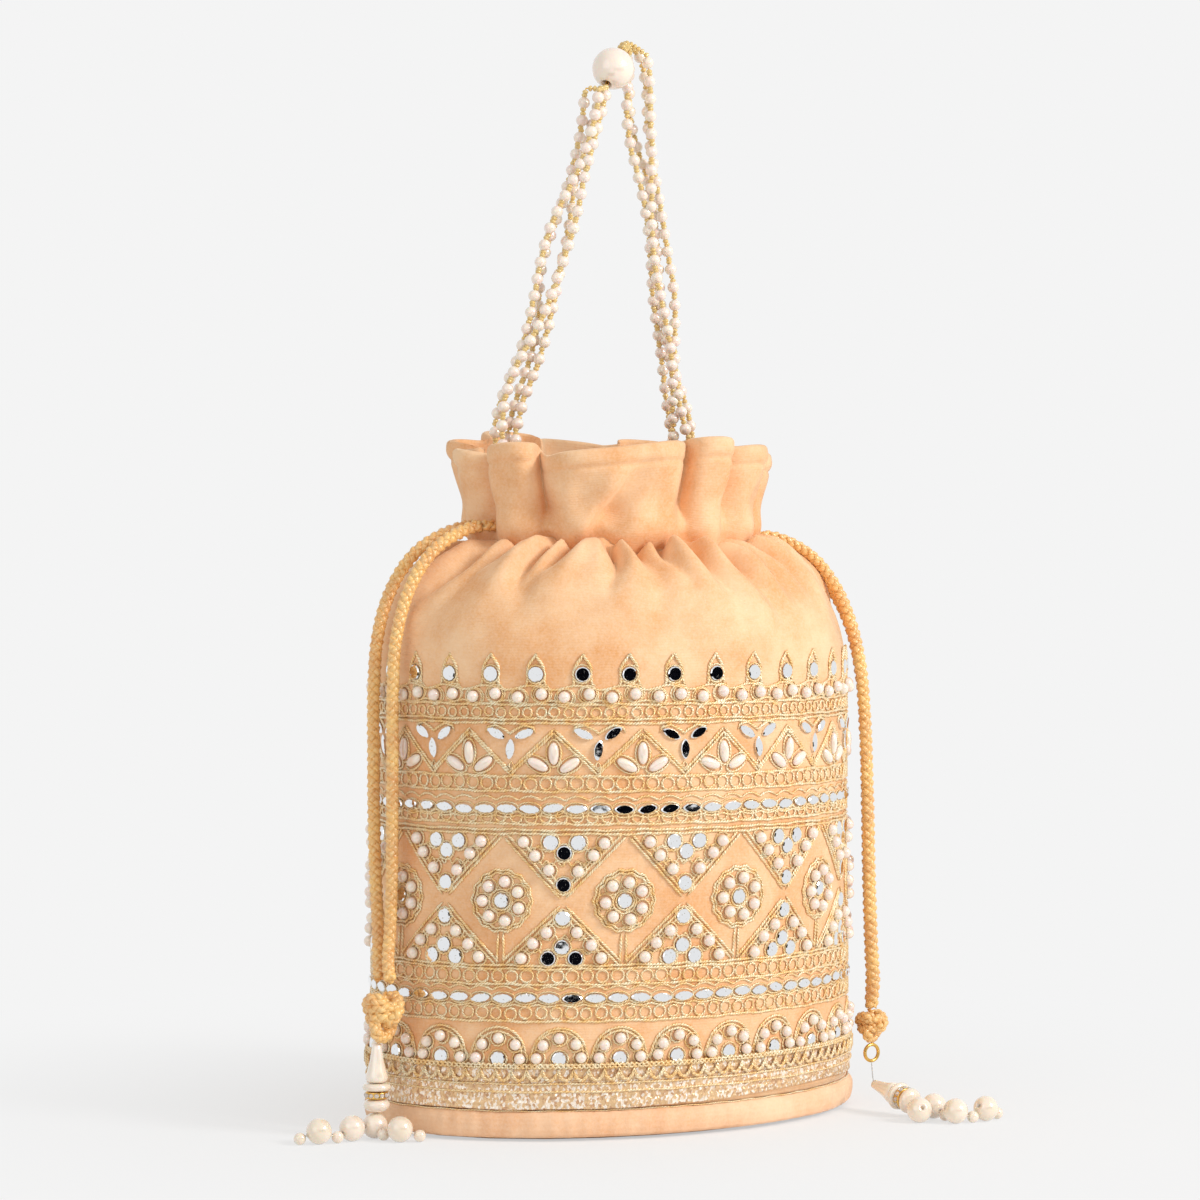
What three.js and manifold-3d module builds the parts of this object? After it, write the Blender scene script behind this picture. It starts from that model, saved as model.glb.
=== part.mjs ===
// Potli bag: a velvet drawstring pouch on a stiff oval base, with bands of mirror and pearl embroidery,
// a gathered neck under a pleated frill, two drawcords with beaded tassels and a handle of pearl strands.
// Millimetres, +Z up. The origin is the middle of the base panel's underside, on which the bag stands. X runs
// along the long side of the oval, where the cords come out, and -Y is the front. Heights below are counted
// from the hem's lower edge, which the base panel lifts off the floor by standHeight.

import * as THREE from 'three';
import { mergeVertices } from 'three/addons/utils/BufferGeometryUtils.js';
import Module from 'manifold-3d';

// Fit between pieces that rest on each other
const seatGap = 0.3;

// Ovals of the velvet's outer face, as half lengths along X and half widths along Y
const hemHalfLength = 87;
const hemHalfWidth = 61;
const waistHalfLength = 83;
const waistHalfWidth = 70;
const neckHalfLength = 50;
const neckHalfWidth = 41;
const rimHalfLength = 57;
const rimHalfWidth = 48;

// Heights of the bands, from the hem's lower edge up
const standHeight = 3.6;
const pipingHeight = 6.4;
const laceHeight = 15.3;
const archHeight = 13.2;
const lowerLeafHeight = 15;
const diamondHeight = 48.5;
const upperLeafHeight = 15;
const zigzagHeight = 22.6;
const pearlHeight = 8.6;
const finialHeight = 4.6;
const shoulderRise = 38;
const frillHeight = 32;

// Heights that follow from the bands
const laceTop = pipingHeight + laceHeight;
const archTop = laceTop + archHeight;
const lowerLeafTop = archTop + lowerLeafHeight;
const diamondTop = lowerLeafTop + diamondHeight;
const upperLeafTop = diamondTop + upperLeafHeight;
const zigzagTop = upperLeafTop + zigzagHeight;
const pearlTop = zigzagTop + pearlHeight;
const shoulderStart = pearlTop + finialHeight;
const neckHeight = shoulderStart + shoulderRise;
const rimHeight = neckHeight + frillHeight;

// Cloth and boards
const velvetThickness = 2;
const frillThickness = 2.6;
const liningThickness = 1;
const panelThickness = 1.5;
const boardThickness = 2;
const pipingWidth = 5.4;
const laceThickness = 1.1;
const tapeThickness = 1.2;
const tapeLap = 4.2;

// Embroidery: repeats round the bag and how far the work stands out of the velvet
const archCount = 24;
const leafCount = 64;
const diamondCount = 12;
const zigzagCount = 17;
const pearlCount = 64;
const finialCount = 32;
const patternTurn = 0.011;
const pearlLift = 2.1;
const leafLift = 1.3;
const patchLift = 1.6;
const threadLift = 1.2;

// Pleats of the frill: where each crevice is, in degrees round from +X, and how deep it is at the rim
const crevices = [
  { angle: 31, depth: 8 },
  { angle: 63, depth: 7 },
  { angle: 96, depth: 9 },
  { angle: 128, depth: 7 },
  { angle: 159, depth: 8 },
  { angle: 184, depth: 7 },
  { angle: 214, depth: 10 },
  { angle: 243, depth: 4 },
  { angle: 273, depth: 8 },
  { angle: 298, depth: 7 },
  { angle: 327, depth: 8 },
  { angle: 357, depth: 8 },
];
const deepestCrevice = Math.max(...crevices.map((crevice) => crevice.depth));
const creviceHalfWidth = 0.009;
const neckGather = 2.4;
const shoulderGather = 4;

// Drawcords in the casing and hanging at the sides
const cordRadius = 2.5;
const cordSides = 8;
const cordPairGap = 0.6;
const cordExitSpread = 3.3;
const casingRise = 4.4;
const slitWidth = 16.4;

// Handle: pearl and seed beads on wire, four strands drawn through one large pearl
const strandCount = 4;
const strandSpread = 3.4;
const beadPearlRadius = 2;
const beadSeedRadius = 1;
const beadPitch = 6;
const beadSides = 4;
const threadRadius = 0.28;
const threadSpread = 0.95;
const handlePearlRadius = 7;
const handlePearlBore = 1.8;
const anchorRadius = 5;
const anchorHeight = 4;

// Tassel beads
const ringRadius = 3.4;
const ringWireRadius = 0.6;
const coneLength = 12.4;
const coneRadius = 3.7;
const coneTipRadius = 1.5;
const collarRadius = 4.7;
const collarHeight = 2.4;
const rondelleRadius = 4.1;
const rondelleHeight = 2.2;
const capRadius = 4.4;
const capHeight = 4;
const tasselPearlRadius = 4.2;
const tasselSeedRadius = 2;
const nylonRadius = 0.35;

// Columns round the oval for the plain inner faces, and for the base
const innerColumns = 24;
const baseColumns = 24;
const footColumns = 36;

// Levels of the shoulder, as its turn from 0 to 1, where the plain inner faces have a ring
const hiddenTurns = [0.5];

// Surfaces
const velvet = { color: 0xf2c894, roughness: 0.85, metalness: 0 };
const hemVelvet = { color: 0xe8b48c, roughness: 0.85, metalness: 0 };
const satin = { color: 0xf0dcc0, roughness: 0.5, metalness: 0 };
const cardboard = { color: 0xc9b48c, roughness: 0.9, metalness: 0 };
const goldLace = { color: 0xc8a870, roughness: 0.45, metalness: 0.5 };
const silkCord = { color: 0xe6a84a, roughness: 0.45, metalness: 0 };
const pearl = { color: 0xf3e6da, roughness: 0.25, metalness: 0 };
const goldMetal = { color: 0xd9a441, roughness: 0.25, metalness: 1 };
const nylon = { color: 0xe8e8e8, roughness: 0.2, metalness: 0 };

const fullTurn = 2 * Math.PI;

// A table from the share of an oval's length, counted round from +X, to the angle of the point there
const ovalTables = new Map();
const ovalTableSteps = 720;

function ovalTable(halfLength, halfWidth) {
  const key = `${halfLength},${halfWidth}`;
  if (!ovalTables.has(key)) {
    const lengths = [0];
    for (let step = 1; step <= ovalTableSteps; step += 1) {
      const angle = ((step - 0.5) / ovalTableSteps) * fullTurn;
      const pace = Math.hypot(halfLength * Math.sin(angle), halfWidth * Math.cos(angle));
      lengths.push(lengths[step - 1] + pace);
    }
    ovalTables.set(key, lengths);
  }
  return ovalTables.get(key);
}

// The point and outward direction on an oval, at a share of its length
function ovalPoint(halfLength, halfWidth, share) {
  const lengths = ovalTable(halfLength, halfWidth);
  const turns = Math.floor(share);
  const wanted = (share - turns) * lengths[ovalTableSteps];
  let low = 0;
  let high = ovalTableSteps;
  while (high - low > 1) {
    const middle = (low + high) >> 1;
    if (lengths[middle] <= wanted) low = middle;
    else high = middle;
  }
  const within = (wanted - lengths[low]) / (lengths[high] - lengths[low]);
  const angle = ((low + within) / ovalTableSteps) * fullTurn;
  const normal = new THREE.Vector2(halfWidth * Math.cos(angle), halfLength * Math.sin(angle)).normalize();
  return { x: halfLength * Math.cos(angle), y: halfWidth * Math.sin(angle), normal };
}

// Shares of the oval's length, evenly spaced
function evenShares(count, shift = 0) {
  return Array.from({ length: count }, (_, index) => (index + shift) / count);
}

// One closed ring of points on an oval, pushed out of it by lift(index, share)
function ovalRing(oval, height, shares, lift = () => 0) {
  return shares.map((share, index) => {
    const point = ovalPoint(oval.halfLength, oval.halfWidth, share);
    const out = lift(index, share);
    return {
      share,
      position: new THREE.Vector3(point.x + point.normal.x * out, point.y + point.normal.y * out, height),
    };
  });
}

// Faces between two rings that may hold different numbers of points, walked round side by side. On a tie the
// lower ring goes first, so that the two faces of a thin wall are creased along the same lines
function zipRings(first, second, firstStart, secondStart, faces) {
  const lowerFirst = first[0].position.z <= second[0].position.z;
  let i = 0;
  let j = 0;
  const shareAt = (ring, index) => ring[index % ring.length].share + Math.floor(index / ring.length);
  while (i < first.length || j < second.length) {
    const nextFirst = i < first.length ? shareAt(first, i + 1) + shareAt(first, i) : Infinity;
    const nextSecond = j < second.length ? shareAt(second, j + 1) + shareAt(second, j) : Infinity;
    const a = firstStart + (i % first.length);
    const b = secondStart + (j % second.length);
    if (nextFirst < nextSecond || (nextFirst === nextSecond && lowerFirst)) {
      faces.push(a, firstStart + ((i + 1) % first.length), b);
      i += 1;
    } else {
      faces.push(a, secondStart + ((j + 1) % second.length), b);
      j += 1;
    }
  }
}

// A closed body from rings: a hollow wall when the last ring is zipped back to the first one,
// or a solid whose two ends are closed over their middle points
function bodyOfRings(rings, hollow) {
  const points = [];
  const starts = [];
  for (const ring of rings) {
    starts.push(points.length);
    for (const entry of ring) points.push(entry.position);
  }
  const faces = [];
  const last = rings.length - 1;
  for (let k = 0; k < last; k += 1) zipRings(rings[k], rings[k + 1], starts[k], starts[k + 1], faces);
  if (hollow) {
    zipRings(rings[last], rings[0], starts[last], starts[0], faces);
  } else {
    closeEnd(rings[0], starts[0], points, faces, true);
    closeEnd(rings[last], starts[last], points, faces, false);
  }
  const geometry = new THREE.BufferGeometry();
  geometry.setAttribute('position', new THREE.Float32BufferAttribute(points.flatMap((p) => p.toArray()), 3));
  geometry.setIndex(faces);
  geometry.computeVertexNormals();
  return geometry;
}

function closeEnd(ring, start, points, faces, isFirst) {
  const middle = new THREE.Vector3();
  for (const entry of ring) middle.add(entry.position);
  middle.divideScalar(ring.length);
  const centre = points.length;
  points.push(middle);
  for (let i = 0; i < ring.length; i += 1) {
    const here = start + i;
    const next = start + ((i + 1) % ring.length);
    if (isFirst) faces.push(centre, next, here);
    else faces.push(centre, here, next);
  }
}

// The velvet's oval at a height of the standing wall
function wallOval(height, inset = 0) {
  const share = Math.min(1, height / diamondTop);
  return {
    halfLength: hemHalfLength + (waistHalfLength - hemHalfLength) * share - inset,
    halfWidth: hemHalfWidth + (waistHalfWidth - hemHalfWidth) * share - inset,
  };
}

// The rounded shoulder, from the wall at turn 0 to the neck at turn 1
function shoulderOval(turn, inset = 0) {
  const reach = Math.cos((turn * Math.PI) / 2);
  return {
    halfLength: neckHalfLength + (waistHalfLength - neckHalfLength) * reach - inset,
    halfWidth: neckHalfWidth + (waistHalfWidth - neckHalfWidth) * reach - inset,
  };
}

function shoulderHeight(turn, drop = 0) {
  return shoulderStart + (shoulderRise - drop) * Math.sin((turn * Math.PI) / 2);
}

// The frill, from the neck at rise 0 to the rim at rise 1
function frillOval(rise, inset = 0) {
  const flare = Math.sin((rise * Math.PI) / 2);
  return {
    halfLength: neckHalfLength + (rimHalfLength - neckHalfLength) * flare - inset,
    halfWidth: neckHalfWidth + (rimHalfWidth - neckHalfWidth) * flare - inset,
  };
}

// Five columns for each pleat: the crevice, its two lips and two points on the roll between them
function pleatShares() {
  const places = crevices.map((crevice) => crevice.angle / 360);
  return places.flatMap((here, index) => {
    const next = index + 1 < places.length ? places[index + 1] : places[0] + 1;
    const span = next - here - 2 * creviceHalfWidth;
    return [
      here,
      here + creviceHalfWidth,
      here + creviceHalfWidth + span * 0.33,
      here + creviceHalfWidth + span * 0.67,
      next - creviceHalfWidth,
    ];
  });
}

// How far a pleat column stands out: a crevice goes in by its depth, its lips by a quarter of that,
// and the rolls between bulge out
function pleatLift(scale) {
  return (index) => {
    const crevice = crevices[Math.floor(index / 5)];
    const following = crevices[(Math.floor(index / 5) + 1) % crevices.length];
    const place = index % 5;
    if (place === 0) return -crevice.depth * scale;
    if (place === 1) return -crevice.depth * scale * 0.25;
    if (place === 4) return -following.depth * scale * 0.25;
    return crevice.depth * scale * 0.12;
  };
}

// Lift that repeats a short list of values along a ring
const repeatLift = (values) => (index) => values[index % values.length];

// Embroidery rings up the wall: arches, leaf mirrors, triangles and rosettes, leaf mirrors, zigzag, pearls
function embroideryRings() {
  const rings = [];
  const add = (height, count, lift, shift = 0) => {
    const shares = evenShares(count, shift).map((share) => share + patternTurn);
    rings.push(ovalRing(wallOval(height), height, shares, repeatLift(lift)));
  };
  const archColumns = archCount * 3;
  add(laceTop + archHeight * 0.12, archColumns, [patchLift, 0, patchLift], 0.5);
  add(laceTop + archHeight * 0.7, archColumns, [patchLift * 0.8, 0, patchLift * 0.8], 0.5);
  add(archTop, leafCount, [0]);
  add(archTop + lowerLeafHeight * 0.5, leafCount, [leafLift], 0.5);
  const diamondColumns = diamondCount * 6;
  const rows = diamondHeight / 8;
  add(lowerLeafTop + rows * 0.5, diamondColumns, [0, 0, patchLift, patchLift, patchLift, 0]);
  add(lowerLeafTop + rows * 2.2, diamondColumns, [0, 0, 0.3, patchLift, 0.3, 0]);
  add(lowerLeafTop + rows * 4, diamondColumns, [patchLift, 0.4, 0, 0, 0, 0.4]);
  add(lowerLeafTop + rows * 5.8, diamondColumns, [0, 0, 0.3, patchLift, 0.3, 0]);
  add(lowerLeafTop + rows * 7.5, diamondColumns, [0, 0, patchLift, patchLift, patchLift, 0]);
  add(diamondTop, leafCount, [0]);
  add(diamondTop + upperLeafHeight * 0.33, leafCount, [leafLift], 0.5);
  const zigzagColumns = zigzagCount * 4;
  add(upperLeafTop + zigzagHeight * 0.15, zigzagColumns, [threadLift, 0, 0, 0]);
  add(upperLeafTop + zigzagHeight * 0.5, zigzagColumns, [0.5, threadLift, 0.8, threadLift]);
  add(upperLeafTop + zigzagHeight * 0.85, zigzagColumns, [0, 0, threadLift, 0]);
  add(zigzagTop + pearlHeight * 0.15, pearlCount, [0]);
  add(zigzagTop + pearlHeight * 0.45, pearlCount * 2, [pearlLift, 0.4]);
  add(pearlTop + finialHeight * 0.5, finialCount * 2, [patchLift, 0], 0.75);
  return rings;
}

// The velvet: embroidered wall, gathered shoulder, cinched neck and pleated frill, with its inner face
function velvetGeometry() {
  const plainShares = evenShares(footColumns);
  const insideShares = evenShares(innerColumns);
  const folds = pleatShares();
  const bottom = pipingHeight + seatGap;
  const rings = [
    ovalRing(wallOval(bottom), bottom, plainShares),
    ovalRing(wallOval(laceTop), laceTop, plainShares),
    ...embroideryRings(),
  ];
  const gatherAt = (turn) => (shoulderGather * turn * turn) / deepestCrevice;
  for (const turn of [0.03, 0.34, 0.62, 0.84]) {
    rings.push(ovalRing(shoulderOval(turn), shoulderHeight(turn), folds, pleatLift(gatherAt(turn))));
  }
  const neckScale = neckGather / deepestCrevice;
  rings.push(ovalRing(frillOval(0), neckHeight, folds, pleatLift(neckScale)));
  for (const rise of [0.5, 1]) {
    const scale = neckScale + (1 - neckScale) * rise;
    rings.push(ovalRing(frillOval(rise), neckHeight + frillHeight * rise, folds, pleatLift(scale)));
  }
  for (const rise of [1, 0.5]) {
    const scale = (neckScale + (1 - neckScale) * rise) * 1.05;
    const height = neckHeight + frillHeight * rise;
    rings.push(ovalRing(frillOval(rise, frillThickness), height, folds, pleatLift(scale)));
  }
  const neckInset = velvetThickness + neckGather;
  rings.push(ovalRing(frillOval(0, neckInset), casingMiddle + casingHalfHeight, insideShares));
  rings.push(ovalRing(frillOval(0, neckInset), casingMiddle - casingHalfHeight, insideShares));
  const gatherDepth = velvetThickness + shoulderGather;
  for (const turn of hiddenTurns.slice().reverse()) {
    rings.push(ovalRing(shoulderOval(turn, gatherDepth * turn + velvetThickness),
      shoulderHeight(turn, velvetThickness), insideShares));
  }
  for (const height of [shoulderStart, diamondTop, bottom]) {
    rings.push(ovalRing(wallOval(height, velvetThickness), height, insideShares));
  }
  return bodyOfRings(rings, true);
}

// Casing: the two cords run one above the other between the velvet and the tape
const casingMiddle = neckHeight + casingRise;
const cordLevelOffset = cordRadius + cordPairGap / 2;
const casingHalfHeight = cordLevelOffset + cordRadius + 1;
const cordInset = velvetThickness + neckGather + seatGap + cordRadius + 0.4;
const tapeInset = cordInset + cordRadius + seatGap + 0.9;

// A slit in the velvet where a pair of cord ends comes out
function slitGeometry(side) {
  const slitReach = 14;
  const slit = new THREE.BoxGeometry(slitReach, slitWidth, 2 * cordRadius + 1);
  slit.translate(side * neckHalfLength, 0, casingMiddle - side * cordLevelOffset);
  return slit;
}

// Boolean work on closed meshes
const library = await Module();
library.setup();

function toSolid(geometry) {
  const plain = geometry.clone();
  plain.deleteAttribute('normal');
  plain.deleteAttribute('uv');
  const merged = mergeVertices(plain, 1e-4);
  const vertProperties = new Float32Array(merged.attributes.position.array);
  const triVerts = new Uint32Array(merged.index.array);
  return new library.Manifold(new library.Mesh({ numProp: 3, vertProperties, triVerts }));
}

function fromSolid(solid) {
  const mesh = solid.getMesh();
  const geometry = new THREE.BufferGeometry();
  geometry.setAttribute('position', new THREE.BufferAttribute(new Float32Array(mesh.vertProperties), 3));
  geometry.setIndex(new THREE.BufferAttribute(new Uint32Array(mesh.triVerts), 1));
  geometry.computeVertexNormals();
  return geometry;
}

function velvetWithSlits() {
  const wall = toSolid(velvetGeometry());
  return fromSolid(wall.subtract(toSolid(slitGeometry(-1))).subtract(toSolid(slitGeometry(1))));
}

// A hollow ring whose upright section is given as [inset, height] pairs, outer face first going up
function sectionRing(section, shares, oval) {
  return bodyOfRings(section.map(([inset, height]) => ovalRing(oval(height, inset), height, shares)), true);
}

// Levels of the layers in the base
const panelTop = panelThickness;
const boardBottom = panelTop + seatGap;
const boardTop = boardBottom + boardThickness;
const liningBottom = boardTop + seatGap;
const pipingProud = 1.6;
const plateInset = pipingWidth - pipingProud + seatGap;

function pipingGeometry() {
  const oval = (height, inset) => wallOval(0, inset);
  const inner = pipingWidth - pipingProud;
  return sectionRing([
    [-pipingProud * 0.3, 0],
    [-pipingProud, pipingHeight * 0.3],
    [-pipingProud * 0.8, pipingHeight * 0.75],
    [0, pipingHeight],
    [inner, pipingHeight],
    [inner, 0],
  ], evenShares(baseColumns), oval);
}

// An oval plate from [inset, height] pairs going up
function plateGeometry(section) {
  const shares = evenShares(baseColumns);
  return bodyOfRings(section.map(([inset, height]) => ovalRing(wallOval(0, inset), height, shares)), false);
}

function liningGeometry() {
  const shares = evenShares(innerColumns);
  const fold = velvetThickness + shoulderGather;
  const inset = velvetThickness + seatGap;
  const floorInset = pipingWidth + seatGap;
  const top = casingMiddle - casingHalfHeight - seatGap - 1;
  const outer = [
    ovalRing(wallOval(0, floorInset), liningBottom, shares),
    ovalRing(wallOval(0, floorInset), pipingHeight + 2 * seatGap, shares),
    ovalRing(wallOval(diamondTop, inset), diamondTop, shares),
    ovalRing(wallOval(shoulderStart, inset), shoulderStart, shares),
  ];
  for (const turn of hiddenTurns) {
    const drop = fold * turn + velvetThickness + seatGap;
    outer.push(ovalRing(shoulderOval(turn, drop), shoulderHeight(turn, velvetThickness + seatGap), shares));
  }
  const topInset = tapeInset - seatGap - cordRadius * 2;
  outer.push(ovalRing(frillOval(0, topInset + seatGap), top, shares));
  const inner = [ovalRing(frillOval(0, topInset + seatGap + liningThickness), top, shares)];
  for (const turn of hiddenTurns.slice().reverse()) {
    const drop = fold * turn + velvetThickness + seatGap + liningThickness;
    const height = shoulderHeight(turn, velvetThickness + seatGap + liningThickness);
    inner.push(ovalRing(shoulderOval(turn, drop), height, shares));
  }
  inner.push(ovalRing(wallOval(shoulderStart, inset + liningThickness), shoulderStart, shares));
  inner.push(ovalRing(wallOval(diamondTop, inset + liningThickness), diamondTop, shares));
  inner.push(ovalRing(wallOval(0, floorInset + liningThickness), liningBottom + liningThickness, shares));
  return bodyOfRings([...outer, ...inner], false);
}

// Woven lace round the foot of the wall, its upper edge in scallops
function laceGeometry() {
  const shares = evenShares(footColumns);
  const bottom = pipingHeight + seatGap;
  const face = (height, lift) => ovalRing(wallOval(height), height, shares, () => lift);
  const rings = [
    face(bottom + 0.2, seatGap + laceThickness),
    face(bottom + laceHeight * 0.45, seatGap + laceThickness * 1.3),
  ];
  const scallop = face(laceTop - 0.6, seatGap + laceThickness * 0.8);
  const scallopDrop = 1.2;
  scallop.forEach((entry, index) => {
    if (index % 2 === 1) entry.position.z -= scallopDrop;
  });
  rings.push(scallop);
  rings.push(ovalRing(wallOval(laceTop), laceTop - 2, shares, () => seatGap));
  rings.push(face(bottom + 0.2, seatGap));
  return bodyOfRings(rings, true);
}

// The tape that closes the casing on the inside
function tapeGeometry() {
  const oval = (height, inset) => frillOval(0, inset);
  const low = casingMiddle - casingHalfHeight + 0.6;
  const high = casingMiddle + casingHalfHeight;
  return sectionRing([
    [tapeInset, low],
    [tapeInset, high - tapeThickness],
    [tapeInset - tapeLap, high + seatGap],
    [tapeInset - tapeLap, high + seatGap + tapeThickness],
    [tapeInset + tapeThickness, high + seatGap + tapeThickness],
    [tapeInset + tapeThickness, low],
  ], evenShares(innerColumns), oval);
}

// A plain round cord along a smooth path
function cordGeometry(points, steps) {
  const path = new THREE.CatmullRomCurve3(points.map((p) => new THREE.Vector3(...p)), false, 'centripetal');
  const section = new THREE.Shape();
  section.absarc(0, 0, cordRadius, 0, fullTurn, false);
  return new THREE.ExtrudeGeometry(section, {
    steps,
    curveSegments: cordSides / 2,
    bevelEnabled: false,
    extrudePath: path,
  });
}

// A cord's hidden stretch: in by the slit on one side, round the neck, and out again
function casingCord(side) {
  const level = casingMiddle - side * cordLevelOffset;
  const oval = frillOval(0, cordInset);
  const outside = neckHalfLength + cordRadius + 0.5;
  const points = [];
  const first = 0.06;
  const last = 0.94;
  const stations = 12;
  for (let step = 0; step <= stations; step += 1) {
    const share = first + ((last - first) * step) / stations;
    const point = ovalPoint(oval.halfLength, oval.halfWidth, share);
    points.push([side * point.x, side * point.y, level]);
  }
  const bend = 6;
  const mouth = [side * outside, side * cordExitSpread, level];
  const bendStart = [side * (oval.halfLength - 2.4 + bend), side * cordExitSpread, level];
  const bendMiddle = [side * (oval.halfLength - 2.4 + bend * 0.3), side * (cordExitSpread + bend * 0.3), level];
  const bendEnd = [side * (oval.halfLength - 2.4), side * (cordExitSpread + bend), level];
  const mirrored = ([x, y, z]) => [x, -y, z];
  const inward = [mouth, bendStart, bendMiddle, bendEnd];
  return cordGeometry([...inward, ...points, ...inward.map(mirrored).reverse()], casingSteps);
}

// The hanging ends, chosen by hand: over the shoulder and down the side to the knot. Each point is how far it
// lies beyond the end of the neck, waist or hem oval, then its place across and its height
function cordRoute(side, beyondNeck, beyondWaist, beyondHem) {
  const from = (half, points) => points.map(([beyond, y, z]) => [side * (half + beyond), y, z]);
  return [
    ...from(neckHalfLength, beyondNeck),
    ...from(waistHalfLength, beyondWaist),
    ...from(hemHalfLength, beyondHem),
  ];
}

const leftFrontCord = cordRoute(-1, [
  [4, -3.3, 194.4], [8.5, -3.6, 193.4], [16, -4.6, 190.4], [23, -5.4, 185.8],
], [
  [-3.5, -6, 178], [1.4, -6.4, 168], [4.4, -6.7, 156], [5.6, -7, 140], [5.8, -7.2, 120], [6, -7.4, 100],
], [
  [2.6, -8.2, 80], [4.2, -10, 63], [6.8, -13.4, 52.6], [7.8, -16.7, 47.9],
]);
const leftBackCord = cordRoute(-1, [
  [4, 3.3, 194.4], [8.5, 3.5, 193.4], [16, 4.4, 190.4], [23, 5.2, 185.8],
], [
  [-3.5, 5.8, 178], [1.4, 6, 168], [4.4, 6, 156], [5.6, 5.9, 140], [5.8, 5.6, 120], [6, 5, 100],
], [
  [2.8, 2.4, 80], [4.8, -3, 63], [7.2, -7.6, 52.6], [8.6, -11.2, 47.9],
]);
const rightFrontCord = cordRoute(1, [
  [4, -3.3, 188.8], [9.5, -4.2, 190.6], [17.2, -8.4, 188.4], [23.6, -14.6, 182.6],
], [
  [-5.2, -21.6, 172.6], [-3.1, -27.6, 160], [-2.6, -32.4, 145], [-3.4, -36, 125], [-4, -38.4, 100],
], [
  [-7.2, -38.2, 75], [-4.8, -36.2, 52], [-1.8, -33.2, 37.6], [-0.8, -30.6, 29.2],
]);
const rightBackCord = cordRoute(1, [
  [4, 3.3, 188.8], [10, 2.8, 190.6], [18.4, -0.4, 188.2], [26, -7.2, 182],
], [
  [-2.1, -14.8, 172], [0.4, -21.6, 160], [1.2, -26.6, 145], [0.6, -30.6, 125], [-0.4, -33, 100],
], [
  [-3.6, -32.6, 75], [-0.8, -29.8, 52], [2, -26.8, 37.6], [2.4, -25.6, 29.2],
]);
const hangingSteps = 11;
const casingSteps = 18;

// A closed body round an upright axis from [radius, height] pairs, moved to its place
function turnedGeometry(profile, segments) {
  const points = profile.map(([radius, height]) => new THREE.Vector2(radius, height));
  const geometry = new THREE.LatheGeometry(points, segments);
  geometry.rotateX(Math.PI / 2);
  return geometry;
}

// The overhand knot that joins two cord ends: a wrapped barrel over two fuller lobes
function knotGeometry(radius, height) {
  const half = height / 2;
  return turnedGeometry([
    [0, -half], [radius * 0.62, -half * 0.92], [radius, -half * 0.5], [radius * 0.9, -half * 0.05],
    [radius * 0.74, half * 0.12], [radius * 0.84, half * 0.5], [radius * 0.6, half * 0.94], [0, half],
  ], 8);
}

function jumpRingGeometry() {
  const section = [];
  const sides = 5;
  for (let i = 0; i <= sides; i += 1) {
    const angle = (i / sides) * fullTurn;
    const reach = ringRadius - ringWireRadius + ringWireRadius * Math.cos(angle);
    section.push([reach, ringWireRadius * Math.sin(angle)]);
  }
  return turnedGeometry(section, 10);
}

// Beads of a tassel, each standing on its axis with its lower face at height 0
function coneGeometry() {
  return turnedGeometry([
    [0, 0], [coneRadius * 0.8, 0], [coneRadius, coneLength * 0.16], [coneRadius * 0.78, coneLength * 0.5],
    [coneTipRadius, coneLength], [0, coneLength],
  ], 7);
}

function collarGeometry() {
  return turnedGeometry([
    [0, 0], [collarRadius * 0.8, 0], [collarRadius, collarHeight * 0.5],
    [collarRadius * 0.8, collarHeight], [0, collarHeight],
  ], 8);
}

function rondelleGeometry() {
  return turnedGeometry([
    [0, 0], [rondelleRadius, 0], [rondelleRadius, rondelleHeight], [0, rondelleHeight],
  ], 8);
}

function capGeometry() {
  return turnedGeometry([
    [0, 0], [capRadius * 0.86, 0], [capRadius, capHeight * 0.45],
    [capRadius * 0.6, capHeight], [0, capHeight],
  ], 8);
}

// The point at a distance and angle round a path's own direction
function roundPath(position, along, distance, angle) {
  const aside = Math.abs(along.y) > 0.9 ? new THREE.Vector3(1, 0, 0) : new THREE.Vector3(0, 1, 0);
  const u = new THREE.Vector3().crossVectors(aside, along).normalize();
  const v = new THREE.Vector3().crossVectors(along, u);
  return position.clone()
    .addScaledVector(u, distance * Math.cos(angle))
    .addScaledVector(v, distance * Math.sin(angle));
}

// Beads threaded along a path: rings of few points, wide at each bead and narrow between beads
function beadedGeometry(stations, sides) {
  const rings = stations.map(({ position, along, radius }) => evenShares(sides).map((share) => ({
    share,
    position: roundPath(position, along, radius, share * fullTurn),
  })));
  return bodyOfRings(rings, false);
}

// A short string of tassel pearls through the middles of its beads, large and small in turn
function pearlStringGeometry(beads) {
  const stations = [];
  beads.forEach(([x, y, radius], index) => {
    const here = new THREE.Vector3(x, y, radius - standHeight);
    const other = beads[index + 1 < beads.length ? index + 1 : index - 1];
    const there = new THREE.Vector3(other[0], other[1], other[2] - standHeight);
    const along = index + 1 < beads.length ? there.sub(here).normalize() : here.clone().sub(there).normalize();
    for (const [shift, share] of [[-0.86, 0.5], [0, 1], [0.86, 0.5]]) {
      const position = here.clone().addScaledVector(along, shift * radius);
      stations.push({ position, along, radius: radius * share * 0.98 });
    }
  });
  return beadedGeometry(stations, 5);
}

// Handle, chosen by hand: up the left leg, through the large pearl and down the right leg
const handlePearlCentre = new THREE.Vector3(0.5, 0, 349.4);
const boreDirection = new THREE.Vector3(0.55, 0.25, 0.8).normalize();
const anchorFoot = casingMiddle + casingHalfHeight + seatGap + tapeThickness + seatGap;
const crest = [8.2, 3.6, 358.2];
// A leg of the handle between its top, near the pearl, and its foot in the neck: each point is a share of the
// way out to the foot, then its place across and its height
function handleLeg(topX, footX, points) {
  return points.map(([share, y, z]) => [topX + (footX - topX) * share, y, z]);
}

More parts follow.
